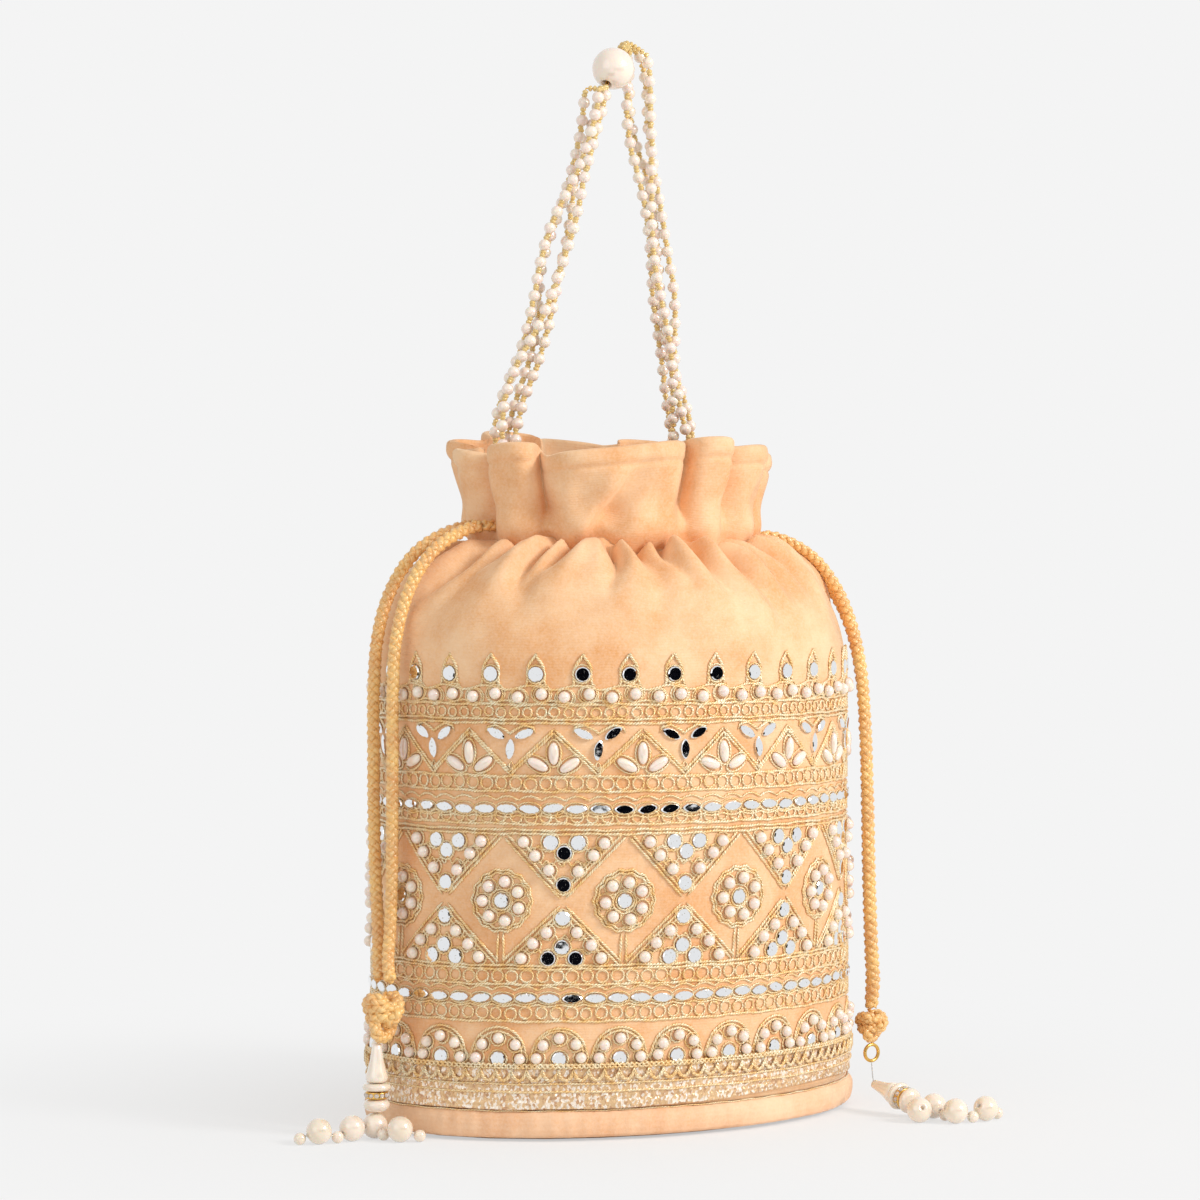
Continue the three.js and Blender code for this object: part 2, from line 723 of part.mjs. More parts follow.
const leftFoot = -(neckHalfLength - 10.5);
const rightFoot = neckHalfLength - 13.6;
const leftLeg = handleLeg(-6.4, leftFoot, [
  [1, 0, 204.8], [1.045, 0, 214], [1.045, 0, 226], [0.955, 0, 239], [0.819, 0, 252], [0.637, 0, 269],
  [0.456, 0, 288], [0.32, 0, 302], [0.184, -0.4, 317], [0.079, -0.8, 330], [0, -1.4, 338],
]);
const rightLeg = handleLeg(12.6, rightFoot, [
  [0, 4.4, 351.4], [0.008, 4.2, 343.5], [0.017, 3.6, 333], [0.143, 3.8, 317], [0.269, 4.4, 301],
  [0.412, 5.2, 283], [0.538, 6, 264], [0.672, 6.8, 245], [0.815, 7.4, 227], [0.933, 7.8, 213],
  [1, 8, 204.8],
]);

function strandStations(strand) {
  const turn = (strand / strandCount) * fullTurn + 0.4;
  const twist = 2.2;
  const leg = (points) => new THREE.CatmullRomCurve3(points.map((p) => new THREE.Vector3(...p)));
  const stations = [];
  const addLeg = (curve, turnStart, turnEnd, narrowAtEnd) => {
    const periods = Math.round(curve.getLength() / beadPitch);
    for (let k = 0; k <= 2 * periods; k += 1) {
      const share = k / (2 * periods);
      const isPearl = k % 2 === 1;
      const angle = turnStart + (turnEnd - turnStart) * share;
      const along = curve.getTangentAt(share);
      const position = roundPath(curve.getPointAt(share), along, strandSpread, angle);
      const isEnd = k === (narrowAtEnd ? 2 * periods : 0);
      const radius = isPearl ? beadPearlRadius : beadSeedRadius;
      stations.push({ position, along, radius: isEnd ? beadSeedRadius * 0.8 : radius });
    }
  };
  const addThread = (centre, along) => {
    const position = roundPath(centre, along, threadSpread, turn + twist);
    stations.push({ position, along, radius: threadRadius });
  };
  addLeg(leg(leftLeg), turn, turn + twist, true);
  const reach = handlePearlRadius + 0.9;
  addThread(handlePearlCentre.clone().addScaledVector(boreDirection, -reach), boreDirection);
  addThread(handlePearlCentre.clone().addScaledVector(boreDirection, reach), boreDirection);
  addThread(new THREE.Vector3(...crest), new THREE.Vector3(1, 0.2, -0.2).normalize());
  addLeg(leg(rightLeg), turn + twist, turn + 2 * twist, false);
  return stations;
}

function handlePearlGeometry() {
  const radius = handlePearlRadius;
  const profile = [];
  const steps = 7;
  const mouth = Math.asin(handlePearlBore / radius);
  for (let k = 0; k <= steps; k += 1) {
    const angle = mouth + ((Math.PI - 2 * mouth) * k) / steps;
    profile.push([radius * Math.sin(angle), -radius * Math.cos(angle)]);
  }
  profile.push(profile[0]);
  return turnedGeometry(profile, 10);
}

// Assembly, lifted so that the base panel stands on the floor
const bag = new THREE.Group();
bag.position.z = standHeight;
const standing = new THREE.Group();
standing.add(bag);

function addPiece(name, geometry, surface, parent = bag) {
  const mesh = new THREE.Mesh(geometry, new THREE.MeshStandardMaterial(surface));
  mesh.name = name;
  parent.add(mesh);
  return mesh;
}

addPiece('velvet_bag', velvetWithSlits(), velvet);
addPiece('lining_bag', liningGeometry(), satin);
addPiece('base_panel', plateGeometry([
  [plateInset + 1.6, -standHeight], [plateInset, 1.6 - standHeight], [plateInset, panelTop],
]), hemVelvet);
addPiece('base_board', plateGeometry([[plateInset, boardBottom], [plateInset, boardTop]]), cardboard);
addPiece('hem_piping', pipingGeometry(), hemVelvet);
addPiece('lace_trim', laceGeometry(), goldLace);
addPiece('casing_tape', tapeGeometry(), satin);

addPiece('drawcord_left_casing', casingCord(-1), silkCord);
addPiece('drawcord_right_casing', casingCord(1), silkCord);
addPiece('drawcord_left_front', cordGeometry(leftFrontCord, hangingSteps), silkCord);
addPiece('drawcord_left_back', cordGeometry(leftBackCord, hangingSteps), silkCord);
addPiece('drawcord_right_front', cordGeometry(rightFrontCord, hangingSteps), silkCord);
addPiece('drawcord_right_back', cordGeometry(rightBackCord, hangingSteps), silkCord);

// Handle
for (let strand = 0; strand < strandCount; strand += 1) {
  addPiece(`handle_strand_${strand + 1}`, beadedGeometry(strandStations(strand), beadSides), pearl);
}
const handlePearl = addPiece('handle_pearl', handlePearlGeometry(), pearl);
handlePearl.position.copy(handlePearlCentre);
handlePearl.quaternion.setFromUnitVectors(new THREE.Vector3(0, 0, 1), boreDirection);

for (const [name, foot] of [['handle_anchor_left', leftLeg[0]], ['handle_anchor_right', rightLeg.at(-1)]]) {
  const anchor = addPiece(name, turnedGeometry([
    [0, 0], [anchorRadius, 0], [anchorRadius, anchorHeight * 0.7], [anchorRadius * 0.8, anchorHeight],
    [0, anchorHeight],
  ], 8), goldMetal);
  anchor.position.set(foot[0], foot[1], anchorFoot);
}

// A knot, ring and beads of one tassel. The stack of beads has its own upright axis, so that one tassel
// hangs straight and the other lies on the floor.
const stackGap = seatGap;
const stackLength = coneLength + collarHeight + rondelleHeight + capHeight + 3 * stackGap;

function addTasselHead(side, place, quaternion) {
  const head = new THREE.Group();
  head.position.copy(place);
  head.quaternion.copy(quaternion);
  bag.add(head);
  const stack = [
    ['cone_bead', coneGeometry(), coneLength, pearl],
    ['collar_bead', collarGeometry(), collarHeight, pearl],
    ['rondelle', rondelleGeometry(), rondelleHeight, goldMetal],
    ['cap_bead', capGeometry(), capHeight, pearl],
  ];
  let height = 0;
  for (const [name, geometry, size, surface] of stack) {
    height -= size;
    const bead = addPiece(`${name}_${side}`, geometry, surface, head);
    bead.position.z = height;
    height -= stackGap;
  }
}

// Left: the tassel hangs straight from the knot, and its pearls lie on the floor
const leftKnot = new THREE.Vector3(-(hemHalfLength + 8.8), -13.8, 36.7);
const leftKnotHeight = 18.7;
const knotRadius = 7;
addPiece('knot_left', knotGeometry(knotRadius, leftKnotHeight), silkCord).position.copy(leftKnot);
const leftTip = new THREE.Vector3(-(hemHalfLength + 10.6), -12.7, leftKnot.z - leftKnotHeight / 2 - seatGap);
addTasselHead('left', leftTip, new THREE.Quaternion());

// Right: the knot hangs lower, and its tassel lies on the floor at the end of a nylon thread
const rightKnot = new THREE.Vector3(hemHalfLength + 0.9, -28.2, 22.4);
const rightKnotHeight = 12;
addPiece('knot_right', knotGeometry(knotRadius * 0.83, rightKnotHeight), silkCord).position.copy(rightKnot);
const rightRing = addPiece('jump_ring_right', jumpRingGeometry(), goldMetal);
rightRing.rotation.x = Math.PI / 2;
rightRing.position.set(rightKnot.x, rightKnot.y, rightKnot.z - rightKnotHeight / 2 - seatGap - ringRadius);
const rightTip = new THREE.Vector3(hemHalfLength - 12.8, -48.7, 5.4);
const lying = new THREE.Vector3(-0.04, 0.985, 0.17).normalize();
addTasselHead('right', rightTip, new THREE.Quaternion().setFromUnitVectors(new THREE.Vector3(0, 0, 1), lying));

const threadTop = new THREE.Vector3(rightKnot.x, rightKnot.y, rightRing.position.z - ringRadius - seatGap);
const threadEnd = rightTip.clone().addScaledVector(lying, seatGap + 0.1);
const threadWay = threadEnd.clone().sub(threadTop).normalize();
addPiece('nylon_thread_right', beadedGeometry([
  { position: threadTop, along: threadWay, radius: nylonRadius },
  { position: threadEnd, along: threadWay, radius: nylonRadius },
], 6), nylon);

// Strings of pearls at the tassels' ends. Each bead has its middle's distance from the tassel's tip along X,
// its place across and its radius, and lies on the floor
const big = tasselPearlRadius;
const small = tasselSeedRadius;
const beadsFrom = (tip, beads) => beads.map(([x, y, radius]) => [tip.x + x, y, radius]);
const pearlStrings = {
  tassel_pearls_left_1: beadsFrom(leftTip, [
    [-0.5, -12.4, big], [-9.4, -13.4, big], [-15.4, -14.7, small], [-21.4, -13.3, big], [-27.3, -11.4, small],
  ]),
  tassel_pearls_left_2: beadsFrom(leftTip, [[-0.3, -17.7, small], [2.7, -23.4, big], [8.3, -26.3, small]]),
  tassel_pearls_right_1: beadsFrom(rightTip, [[-1, -72.6, small], [-3, -78.5, big]]),
  tassel_pearls_right_2: beadsFrom(rightTip, [
    [6.7, -73.6, big], [6.5, -80, small], [6, -86.5, big], [12, -88, small], [18, -87.2, big], [24, -85.6, small],
  ]),
};
for (const [name, beads] of Object.entries(pearlStrings)) {
  addPiece(name, pearlStringGeometry(beads), pearl);
}

export default standing;
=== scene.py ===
import bpy
import numpy as np
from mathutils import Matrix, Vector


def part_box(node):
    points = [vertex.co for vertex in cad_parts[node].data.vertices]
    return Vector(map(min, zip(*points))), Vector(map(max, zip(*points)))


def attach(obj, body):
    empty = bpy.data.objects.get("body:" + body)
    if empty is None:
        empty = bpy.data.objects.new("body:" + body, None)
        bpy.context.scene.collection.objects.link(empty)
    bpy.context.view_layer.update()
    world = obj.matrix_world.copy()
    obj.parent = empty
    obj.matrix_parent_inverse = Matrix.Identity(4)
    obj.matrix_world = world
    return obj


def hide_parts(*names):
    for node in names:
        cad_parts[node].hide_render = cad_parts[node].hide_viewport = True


# Potli bag: a velvet drawstring pouch with mirror and pearl embroidery, a pleated frill, silk cords with
# beaded tassels and a handle of pearl strands. Sizes in the dictionaries are millimetres, and heights are
# counted from the hem's lower edge. putMesh turns them into the frame's metres above the floor.
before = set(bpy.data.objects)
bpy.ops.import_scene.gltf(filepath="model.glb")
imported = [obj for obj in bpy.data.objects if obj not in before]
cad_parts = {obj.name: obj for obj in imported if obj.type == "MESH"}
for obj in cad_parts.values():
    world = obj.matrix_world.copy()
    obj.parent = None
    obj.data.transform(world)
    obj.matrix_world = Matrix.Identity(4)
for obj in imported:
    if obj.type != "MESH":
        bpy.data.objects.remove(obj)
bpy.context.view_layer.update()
mm = 0.001
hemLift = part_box("hem_piping")[0][2] / mm  # the base panel holds the hem this far off the floor
dice = np.random.default_rng(11)
fullTurn = 2 * np.pi

# Camera at the photograph's angle, level with the frill
camera = {
    "place": (-0.7154, -1.1449, 0.2016),
    "turn": -32.0,
    "lens": 119.46,
    "sensor": 36,
    "shiftX": -0.01,
    "shiftY": -0.0708,
    "farEnd": 50,
}


def makeCamera():
    data = bpy.data.cameras.new("camera")
    data.lens = camera["lens"]
    data.sensor_width = camera["sensor"]
    data.shift_x = camera["shiftX"]
    data.shift_y = camera["shiftY"]
    data.clip_end = camera["farEnd"]
    eye = bpy.data.objects.new("camera", data)
    eye.location = camera["place"]
    eye.rotation_euler = (np.pi / 2, 0, np.radians(camera["turn"]))
    bpy.context.scene.collection.objects.link(eye)
    bpy.context.scene.camera = eye


makeCamera()
bpy.context.scene.view_settings.view_transform = "Standard"


# Meshes. A shape gathers grids of points, each with its faces and UV, until putMesh makes them one object
def newShape():
    return {"points": [], "faces": [], "count": 0}


# Volume inside a shape's faces, from the sum of the pyramids that they make with the origin
def signedVolume(points, faces):
    total = 0.0
    for group in faces:
        first = points[group[:, 0]]
        for k in range(1, group.shape[1] - 1):
            second, third = points[group[:, k]], points[group[:, k + 1]]
            total += np.einsum("ij,ij->i", first, np.cross(second, third)).sum()
    return total


# Adds one grid, or a stack of like grids: points are (..., rows, columns, 3). Rows run along the piece, the
# columns of each row make a closed ring round it, and along and around are the UV of each row and column. The
# rows close into a loop, or the first and last are each closed with one face
def addGrid(shape, points, along=None, around=None, closedRows=False):
    points = np.asarray(points, float)
    rows, columns = points.shape[-3:-1]
    points = points.reshape(-1, rows, columns, 3)
    copies = len(points)
    lastRow = rows if closedRows else rows - 1
    i, j = np.meshgrid(np.arange(lastRow), np.arange(columns), indexing="ij")
    cornerRow = np.stack([i, i, i + 1, i + 1], -1).reshape(-1, 4)
    cornerColumn = np.stack([j, j + 1, j + 1, j], -1).reshape(-1, 4)
    quads = (cornerRow % rows) * columns + cornerColumn % columns
    along = np.arange(rows + 1.0) if along is None else np.asarray(along, float)
    if along.shape[-1] == rows:
        step = along[..., -1:] - along[..., -2:-1]
        along = np.concatenate([along, along[..., -1:] + step], -1)
    along = np.broadcast_to(along.reshape(-1, rows + 1), (copies, rows + 1))
    around = np.arange(columns + 1.0) / columns if around is None else np.asarray(around, float)
    uv = np.stack([along[:, cornerRow], np.broadcast_to(around[cornerColumn], (copies, *quads.shape))], -1)
    starts = np.arange(copies) * rows * columns
    added = [((quads[None] + starts[:, None, None]).reshape(-1, 4), uv.reshape(-1, 4, 2))]
    if not closedRows:
        ring = np.arange(columns)
        lower = ring[::-1][None] + starts[:, None]
        upper = ring[None] + (rows - 1) * columns + starts[:, None]
        for cap, row in ((lower, 0), (upper, rows - 1)):
            capUv = np.zeros((copies, columns, 2))
            capUv[..., 0] = along[:, row][:, None]
            added.append((cap, capUv))
    points = points.reshape(-1, 3)
    # A grid that came out inside out has its faces turned
    if signedVolume(points - points.mean(0), [faces for faces, _ in added]) < 0:
        added = [(faces[:, ::-1], flipped[:, ::-1]) for faces, flipped in added]
    shape["faces"] += [(faces + shape["count"], cornerUv) for faces, cornerUv in added]
    shape["points"].append(points)
    shape["count"] += copies * rows * columns


def putMesh(name, shape, material, smooth=True, replaces=()):
    points = np.concatenate(shape["points"])
    groups = [faces for faces, _ in shape["faces"]]
    cornerUv = np.concatenate([uv.reshape(-1, 2) for _, uv in shape["faces"]])
    sizes = np.concatenate([np.full(len(group), group.shape[1]) for group in groups])
    corners = np.concatenate([group.ravel() for group in groups])
    mesh = bpy.data.meshes.new(name)
    mesh.vertices.add(len(points))
    mesh.vertices.foreach_set("co", ((points + (0, 0, hemLift)) * mm).astype(np.float32).ravel())
    mesh.loops.add(len(corners))
    mesh.loops.foreach_set("vertex_index", corners.astype(np.int32))
    mesh.polygons.add(len(sizes))
    mesh.polygons.foreach_set("loop_start", np.concatenate([[0], np.cumsum(sizes)[:-1]]).astype(np.int32))
    mesh.update(calc_edges=True)
    mesh.polygons.foreach_set("use_smooth", np.full(len(sizes), smooth))
    layer = mesh.uv_layers.new(name="UVMap")
    layer.data.foreach_set("uv", cornerUv.astype(np.float32).ravel())
    mesh.materials.append(material)
    mesh.validate()
    piece = bpy.data.objects.new(name, mesh)
    bpy.context.scene.collection.objects.link(piece)
    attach(piece, "root")
    if replaces:
        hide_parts(*replaces)
    return piece


# Length along a line of points, from 0 at its first point
def lengthAlong(line):
    steps = np.linalg.norm(np.diff(line, axis=-2), axis=-1)
    return np.concatenate([np.zeros((*steps.shape[:-1], 1)), np.cumsum(steps, -1)], -1)


# A smooth line through given points, the centripetal Catmull-Rom curve that the CAD cords follow, at
# evenly spaced places. Each stretch is a cubic between two points, with slopes from the chords beside it
def smoothLine(points, count, stepsEach=24):
    points = np.asarray(points, float)
    points = np.vstack([2 * points[0] - points[1], points, 2 * points[-1] - points[-2]])
    pace = np.sqrt(np.linalg.norm(np.diff(points, axis=0), axis=1))[:, None]
    chord = np.diff(points, axis=0)
    across = (points[2:] - points[:-2]) / (pace[:-1] + pace[1:])
    slope = chord[:-1] / pace[:-1] - across + chord[1:] / pace[1:]
    t = np.linspace(0, 1, stepsEach, endpoint=False)[None, :, None]
    start, end = points[1:-2, None], points[2:-1, None]
    startSlope = (slope[:-1] * pace[1:-1])[:, None]
    endSlope = (slope[1:] * pace[1:-1])[:, None]
    fine = (
        start * (2 * t**3 - 3 * t**2 + 1)
        + startSlope * (t**3 - 2 * t**2 + t)
        + end * (3 * t**2 - 2 * t**3)
        + endSlope * (t**3 - t**2)
    ).reshape(-1, 3)
    fine = np.vstack([fine, points[-2]])
    length = lengthAlong(fine)
    places = np.linspace(0, length[-1], count)
    return np.stack([np.interp(places, length, fine[:, axis]) for axis in range(3)], -1)


def unit(vectors):
    return vectors / np.maximum(np.linalg.norm(vectors, axis=-1, keepdims=True), 1e-9)


# Evenly spaced shares of the way round, and the angles there
def sharesRound(count):
    return np.arange(count) / count


def anglesRound(count):
    return sharesRound(count) * fullTurn


# A ring of directions for each pair across and over, which are square to each other: across times the
# cosine of each angle and over times its sine
def circleOf(across, over, sides):
    angle = anglesRound(sides)
    return across[..., None, :] * np.cos(angle)[:, None] + over[..., None, :] * np.sin(angle)[:, None]


# Each axis made one long, with two directions square to it
def axisFrame(axes):
    axes = unit(np.asarray(axes, float))
    helper = np.where(np.abs(axes[..., :1]) < 0.7, [1.0, 0, 0], [0, 1.0, 0])
    across = unit(np.cross(helper, axes))
    return axes, across, np.cross(axes, across)


# Directions across a line that don't spin about it: the raw pair made with one fixed direction is turned by
# the running sum of its own drift
def steadyFrames(line, closed=False):
    if closed:
        tangent = unit(np.roll(line, -1, 0) - np.roll(line, 1, 0))
    else:
        tangent = unit(np.gradient(line, axis=0))
    fixed = np.array([0.31, 0.87, 0.39])  # no line of the bag runs this way
    first = unit(fixed - (tangent @ fixed)[:, None] * tangent)
    second = np.cross(tangent, first)
    carried = first[:-1] - np.einsum("ij,ij->i", first[:-1], tangent[1:])[:, None] * tangent[1:]
    drift = np.arctan2(
        np.einsum("ij,ij->i", carried, second[1:]), np.einsum("ij,ij->i", carried, first[1:])
    )
    turned = np.concatenate([[0], np.cumsum(drift)])[:, None]
    across = np.cos(turned) * first + np.sin(turned) * second
    return tangent, across, np.cross(tangent, across)


# A tube: rings of one radius round a line
def tubeRings(line, radius, sides, closed=False):
    _, across, over = steadyFrames(line, closed)
    return line[:, None] + radius * circleOf(across, over, sides)


# A turned piece: [radius, height] pairs round an axis through foot. Radii near 0 close its ends
def turnedRings(profile, foot, axis, sides):
    profile = np.asarray(profile, float)
    axis, across, over = axisFrame(axis)
    circle = circleOf(across, over, sides)
    return np.asarray(foot) + profile[:, None, 1:] * axis + profile[:, None, :1] * circle[None]


# Balls at many places at once, with their poles along axes: the sine and cosine of the angle from the pole
# give each row's radius and height. Squash flattens them, and pole is the angle of the first row
def ballRings(centres, axes, radius, rows, sides, squash=1.0, pole=0.04):
    axes, across, over = axisFrame(axes)
    circle = circleOf(across, over, sides)
    angle = np.linspace(pole, np.pi - pole, rows)
    profile = np.stack([np.sin(angle), -squash * np.cos(angle)], -1)
    reach = profile[None, :, None, 1:] * axes[:, None, None] + profile[None, :, None, :1] * circle[:, None]
    return centres[:, None, None] + radius * reach


# Materials. A colour is written as the screen's red, green and blue, and the shader takes it as linear light
def hue(red, green, blue):
    value = np.array([red, green, blue]) / 255
    linear = np.where(value <= 0.04045, value / 12.92, ((value + 0.055) / 1.055) ** 2.4)
    return (*[float(x) for x in linear], 1.0)


# A new material with values on its shader's own sockets, whose names have an underscore for each space
def startMaterial(name, **sockets):
    material = bpy.data.materials.new(name)
    material.use_nodes = True
    tree = material.node_tree
    shader = tree.nodes["Principled BSDF"]
    for socket, value in sockets.items():
        shader.inputs[socket.replace("_", " ")].default_value = value
    return material, tree, shader


# One node with its settings; an input is a value, or a (node, output) pair to link from
def addNode(tree, kind, inputs=None, **settings):
    node = tree.nodes.new(kind)
    for name, value in settings.items():
        setattr(node, name, value)
    for socket, value in (inputs or {}).items():
        if isinstance(value, tuple) and len(value) == 2 and isinstance(value[0], bpy.types.Node):
            tree.links.new(value[0].outputs[value[1]], node.inputs[socket])
        else:
            node.inputs[socket].default_value = value
    return node


def mixColours(tree, factor, first, second):
    mix = addNode(tree, "ShaderNodeMix", {}, data_type="RGBA")
    for index, value in ((0, factor), (6, first), (7, second)):
        if isinstance(value, tuple) and isinstance(value[0], bpy.types.Node):
            tree.links.new(value[0].outputs[value[1]], mix.inputs[index])
        else:
            mix.inputs[index].default_value = value
    return (mix, 2)


# A factor that goes from 0 to 1 between two values of what it reads
def rampBetween(tree, source, low, high):
    ramp = addNode(tree, "ShaderNodeMapRange", {"Value": source, "From Min": low, "From Max": high})
    ramp.clamp = True
    return (ramp, "Result")


def mathNode(tree, operation, first, second=0.0):
    return (addNode(tree, "ShaderNodeMath", {0: first, 1: second}, operation=operation), "Value")


def noiseNode(tree, coordinates, scale, detail=2.0, rough=0.5):
    inputs = {"Vector": coordinates, "Scale": scale, "Detail": detail, "Roughness": rough}
    return (addNode(tree, "ShaderNodeTexNoise", inputs), "Fac")


def bumpNode(tree, height, strength, distance, before=None):
    inputs = {"Height": height, "Strength": strength, "Distance": distance}
    if before:
        inputs["Normal"] = before
    return (addNode(tree, "ShaderNodeBump", inputs), "Normal")


def objectPlace(tree):
    return (addNode(tree, "ShaderNodeTexCoord"), "Object")


def surfacePlace(tree):
    return (addNode(tree, "ShaderNodeTexCoord"), "UV")


def connect(tree, source, shader, socket):
    tree.links.new(source[0].outputs[source[1]], shader.inputs[socket])


# Velvet: pile brushed into paler and deeper patches, a fine rib from its woven ground, and a bright sheen
def velvetMaterial(name, look):
    material, tree, shader = startMaterial(
        name,
        Roughness=0.78,
        Sheen_Weight=look["sheen"],
        Sheen_Roughness=0.32,
        Sheen_Tint=hue(*look["sheenTint"]),
        Specular_IOR_Level=0.2,
    )
    place = objectPlace(tree)
    patches = rampBetween(tree, noiseNode(tree, place, scale=42, detail=4.0, rough=0.62), 0.36, 0.64)
    nap = rampBetween(tree, noiseNode(tree, place, scale=1150, rough=0.7), 0.3, 0.75)
    brushed = mixColours(tree, patches, hue(*look["deep"]), hue(*look["pale"]))
    colour = mixColours(tree, mathNode(tree, "MULTIPLY", nap, 0.32), brushed, hue(*look["tip"]))
    connect(tree, colour, shader, "Base Color")
    rib = addNode(tree, "ShaderNodeTexWave", {"Vector": surfacePlace(tree), "Scale": look["rib"]})
    rib.bands_direction = "X"
    ribHeight = mathNode(tree, "MULTIPLY", (rib, "Fac"), 0.35)
    pile = mathNode(tree, "ADD", noiseNode(tree, place, scale=1700, detail=3.0, rough=0.7), ribHeight)
    fuzz = bumpNode(tree, pile, strength=0.32, distance=0.00035)
    rumples = noiseNode(tree, place, scale=110, detail=3.0)
    rumple = bumpNode(tree, rumples, strength=0.25, distance=0.0016, before=fuzz)
    connect(tree, rumple, shader, "Normal")
    return material


# Gold thread: two plies twisted together, seen as slanting bands of bright and dark along the UV. The dark
# bands are painted shade in the grooves between the plies
def zariMaterial(name, look):
    material, tree, shader = startMaterial(
        name, Metallic=look["metal"], Specular_IOR_Level=1.0, Coat_Weight=0.4, Coat_Roughness=0.15
    )
    place = surfacePlace(tree)
    twist = addNode(tree, "ShaderNodeMapping", {"Vector": place, "Scale": (1 / look["twist"], 2.0, 1.0)})
    split = addNode(tree, "ShaderNodeSeparateXYZ", {"Vector": (twist, "Vector")})
    slant = mathNode(tree, "ADD", (split, "X"), (split, "Y"))
    ply = mathNode(tree, "ABSOLUTE", mathNode(tree, "SINE", mathNode(tree, "MULTIPLY", slant, np.pi)))
    wear = noiseNode(tree, objectPlace(tree), scale=260, detail=3.0)
    tone = mixColours(tree, rampBetween(tree, wear, 0.35, 0.65), hue(*look["gold"]), hue(*look["pale"]))
    # The groove colour is painted shade, darker where the two plies meet
    colour = mixColours(tree, rampBetween(tree, ply, 0.05, 0.6), hue(*look["grooveShade"]), tone)
    connect(tree, colour, shader, "Base Color")
    glint = rampBetween(tree, noiseNode(tree, objectPlace(tree), scale=1900, detail=1.0), 0.3, 0.7)
    rough = addNode(tree, "ShaderNodeMapRange", {"Value": glint, "To Min": 0.22, "To Max": 0.5})
    connect(tree, (rough, "Result"), shader, "Roughness")
    connect(tree, bumpNode(tree, ply, strength=0.5, distance=0.0003), shader, "Normal")
    return material


# Pearl: a smooth nacre coat over a body whose tint drifts from pink to cream
def pearlMaterial(name, look):
    material, tree, shader = startMaterial(
        name,
        Roughness=0.3,
        Coat_Weight=1.0,
        Coat_Roughness=0.07,
        Coat_IOR=2.0,
        Subsurface_Weight=0.12,
        Subsurface_Scale=0.0012,
        Specular_IOR_Level=0.55,
    )
    place = objectPlace(tree)
    drift = rampBetween(tree, noiseNode(tree, place, scale=look["drift"]), 0.35, 0.65)
    colour = mixColours(tree, drift, hue(*look["cream"]), hue(*look["pink"]))
    connect(tree, colour, shader, "Base Color")
    skin = noiseNode(tree, place, scale=900)
    connect(tree, bumpNode(tree, skin, strength=0.06, distance=0.0002), shader, "Normal")
    return material


# Mirror: silvered glass with a faintly wavy face and worn, foxed places
def mirrorMaterial(name, look):
    material, tree, shader = startMaterial(name, Metallic=1.0)
    place = objectPlace(tree)
    foxing = rampBetween(tree, noiseNode(tree, place, scale=1300, detail=3.0), 0.62, 0.8)
    colour = mixColours(tree, foxing, hue(*look["silver"]), hue(*look["foxed"]))
    connect(tree, colour, shader, "Base Color")
    rough = addNode(tree, "ShaderNodeMapRange", {"Value": foxing, "To Min": 0.03, "To Max": 0.3})
    connect(tree, (rough, "Result"), shader, "Roughness")
    waves = noiseNode(tree, place, scale=300, detail=1.0)
    connect(tree, bumpNode(tree, waves, strength=0.03, distance=0.0006), shader, "Normal")
    return material


# Silk: floss of fine fibres along each strand of a braid, with a soft sheen
def silkMaterial(name, look):
    material, tree, shader = startMaterial(
        name,
        Roughness=0.3,
        Sheen_Weight=0.25,
        Sheen_Roughness=0.3,
        Sheen_Tint=hue(*look["bright"]),
        Specular_IOR_Level=0.8,
    )
    place = surfacePlace(tree)
    fibre = addNode(tree, "ShaderNodeMapping", {"Vector": place, "Scale": (0.25, 14.0, 1.0)})
    streak = noiseNode(tree, (fibre, "Vector"), scale=2.2, detail=3.0, rough=0.6)
    dye = rampBetween(tree, noiseNode(tree, objectPlace(tree), scale=130, detail=3.0), 0.3, 0.7)
    tone = mixColours(tree, dye, hue(*look["deep"]), hue(*look["warm"]))
    colour = mixColours(tree, rampBetween(tree, streak, 0.35, 0.75), tone, hue(*look["bright"]))
    connect(tree, colour, shader, "Base Color")
    connect(tree, bumpNode(tree, streak, strength=0.3, distance=0.0002), shader, "Normal")
    return material


# Woven metallic lace: gold and rose-silver threads in short dashes. The near-white silver dashes are partly
# the silver thread and partly painted glints
def laceMaterial(name, look):
    material, tree, shader = startMaterial(name, Metallic=0.45, Specular_IOR_Level=0.6)
    place = surfacePlace(tree)
    dashes = addNode(tree, "ShaderNodeMapping", {"Vector": place, "Scale": (1.0, 1.3, 1.0)})
    weave = addNode(tree, "ShaderNodeTexVoronoi", {"Vector": (dashes, "Vector"), "Scale": 1.0})
    cell = addNode(tree, "ShaderNodeSeparateColor", {"Color": (weave, "Color")})
    # The silver dashes are partly the lace's silver thread and partly painted glints
    silver = rampBetween(tree, (cell, "Red"), 0.62, 0.72)
    dark = rampBetween(tree, (cell, "Green"), 0.6, 0.9)
    base = mixColours(tree, dark, hue(*look["gold"]), hue(*look["tan"]))
    colour = mixColours(tree, silver, base, hue(*look["silver"]))
    connect(tree, colour, shader, "Base Color")
    rough = addNode(tree, "ShaderNodeMapRange", {"Value": (cell, "Blue"), "To Min": 0.2, "To Max": 0.6})
    connect(tree, (rough, "Result"), shader, "Roughness")
    grain = noiseNode(tree, objectPlace(tree), scale=1500)
    edges = bumpNode(tree, (weave, "Distance"), strength=0.5, distance=0.0004)
    connect(tree, bumpNode(tree, grain, strength=0.3, distance=0.0003, before=edges), shader, "Normal")
    return material


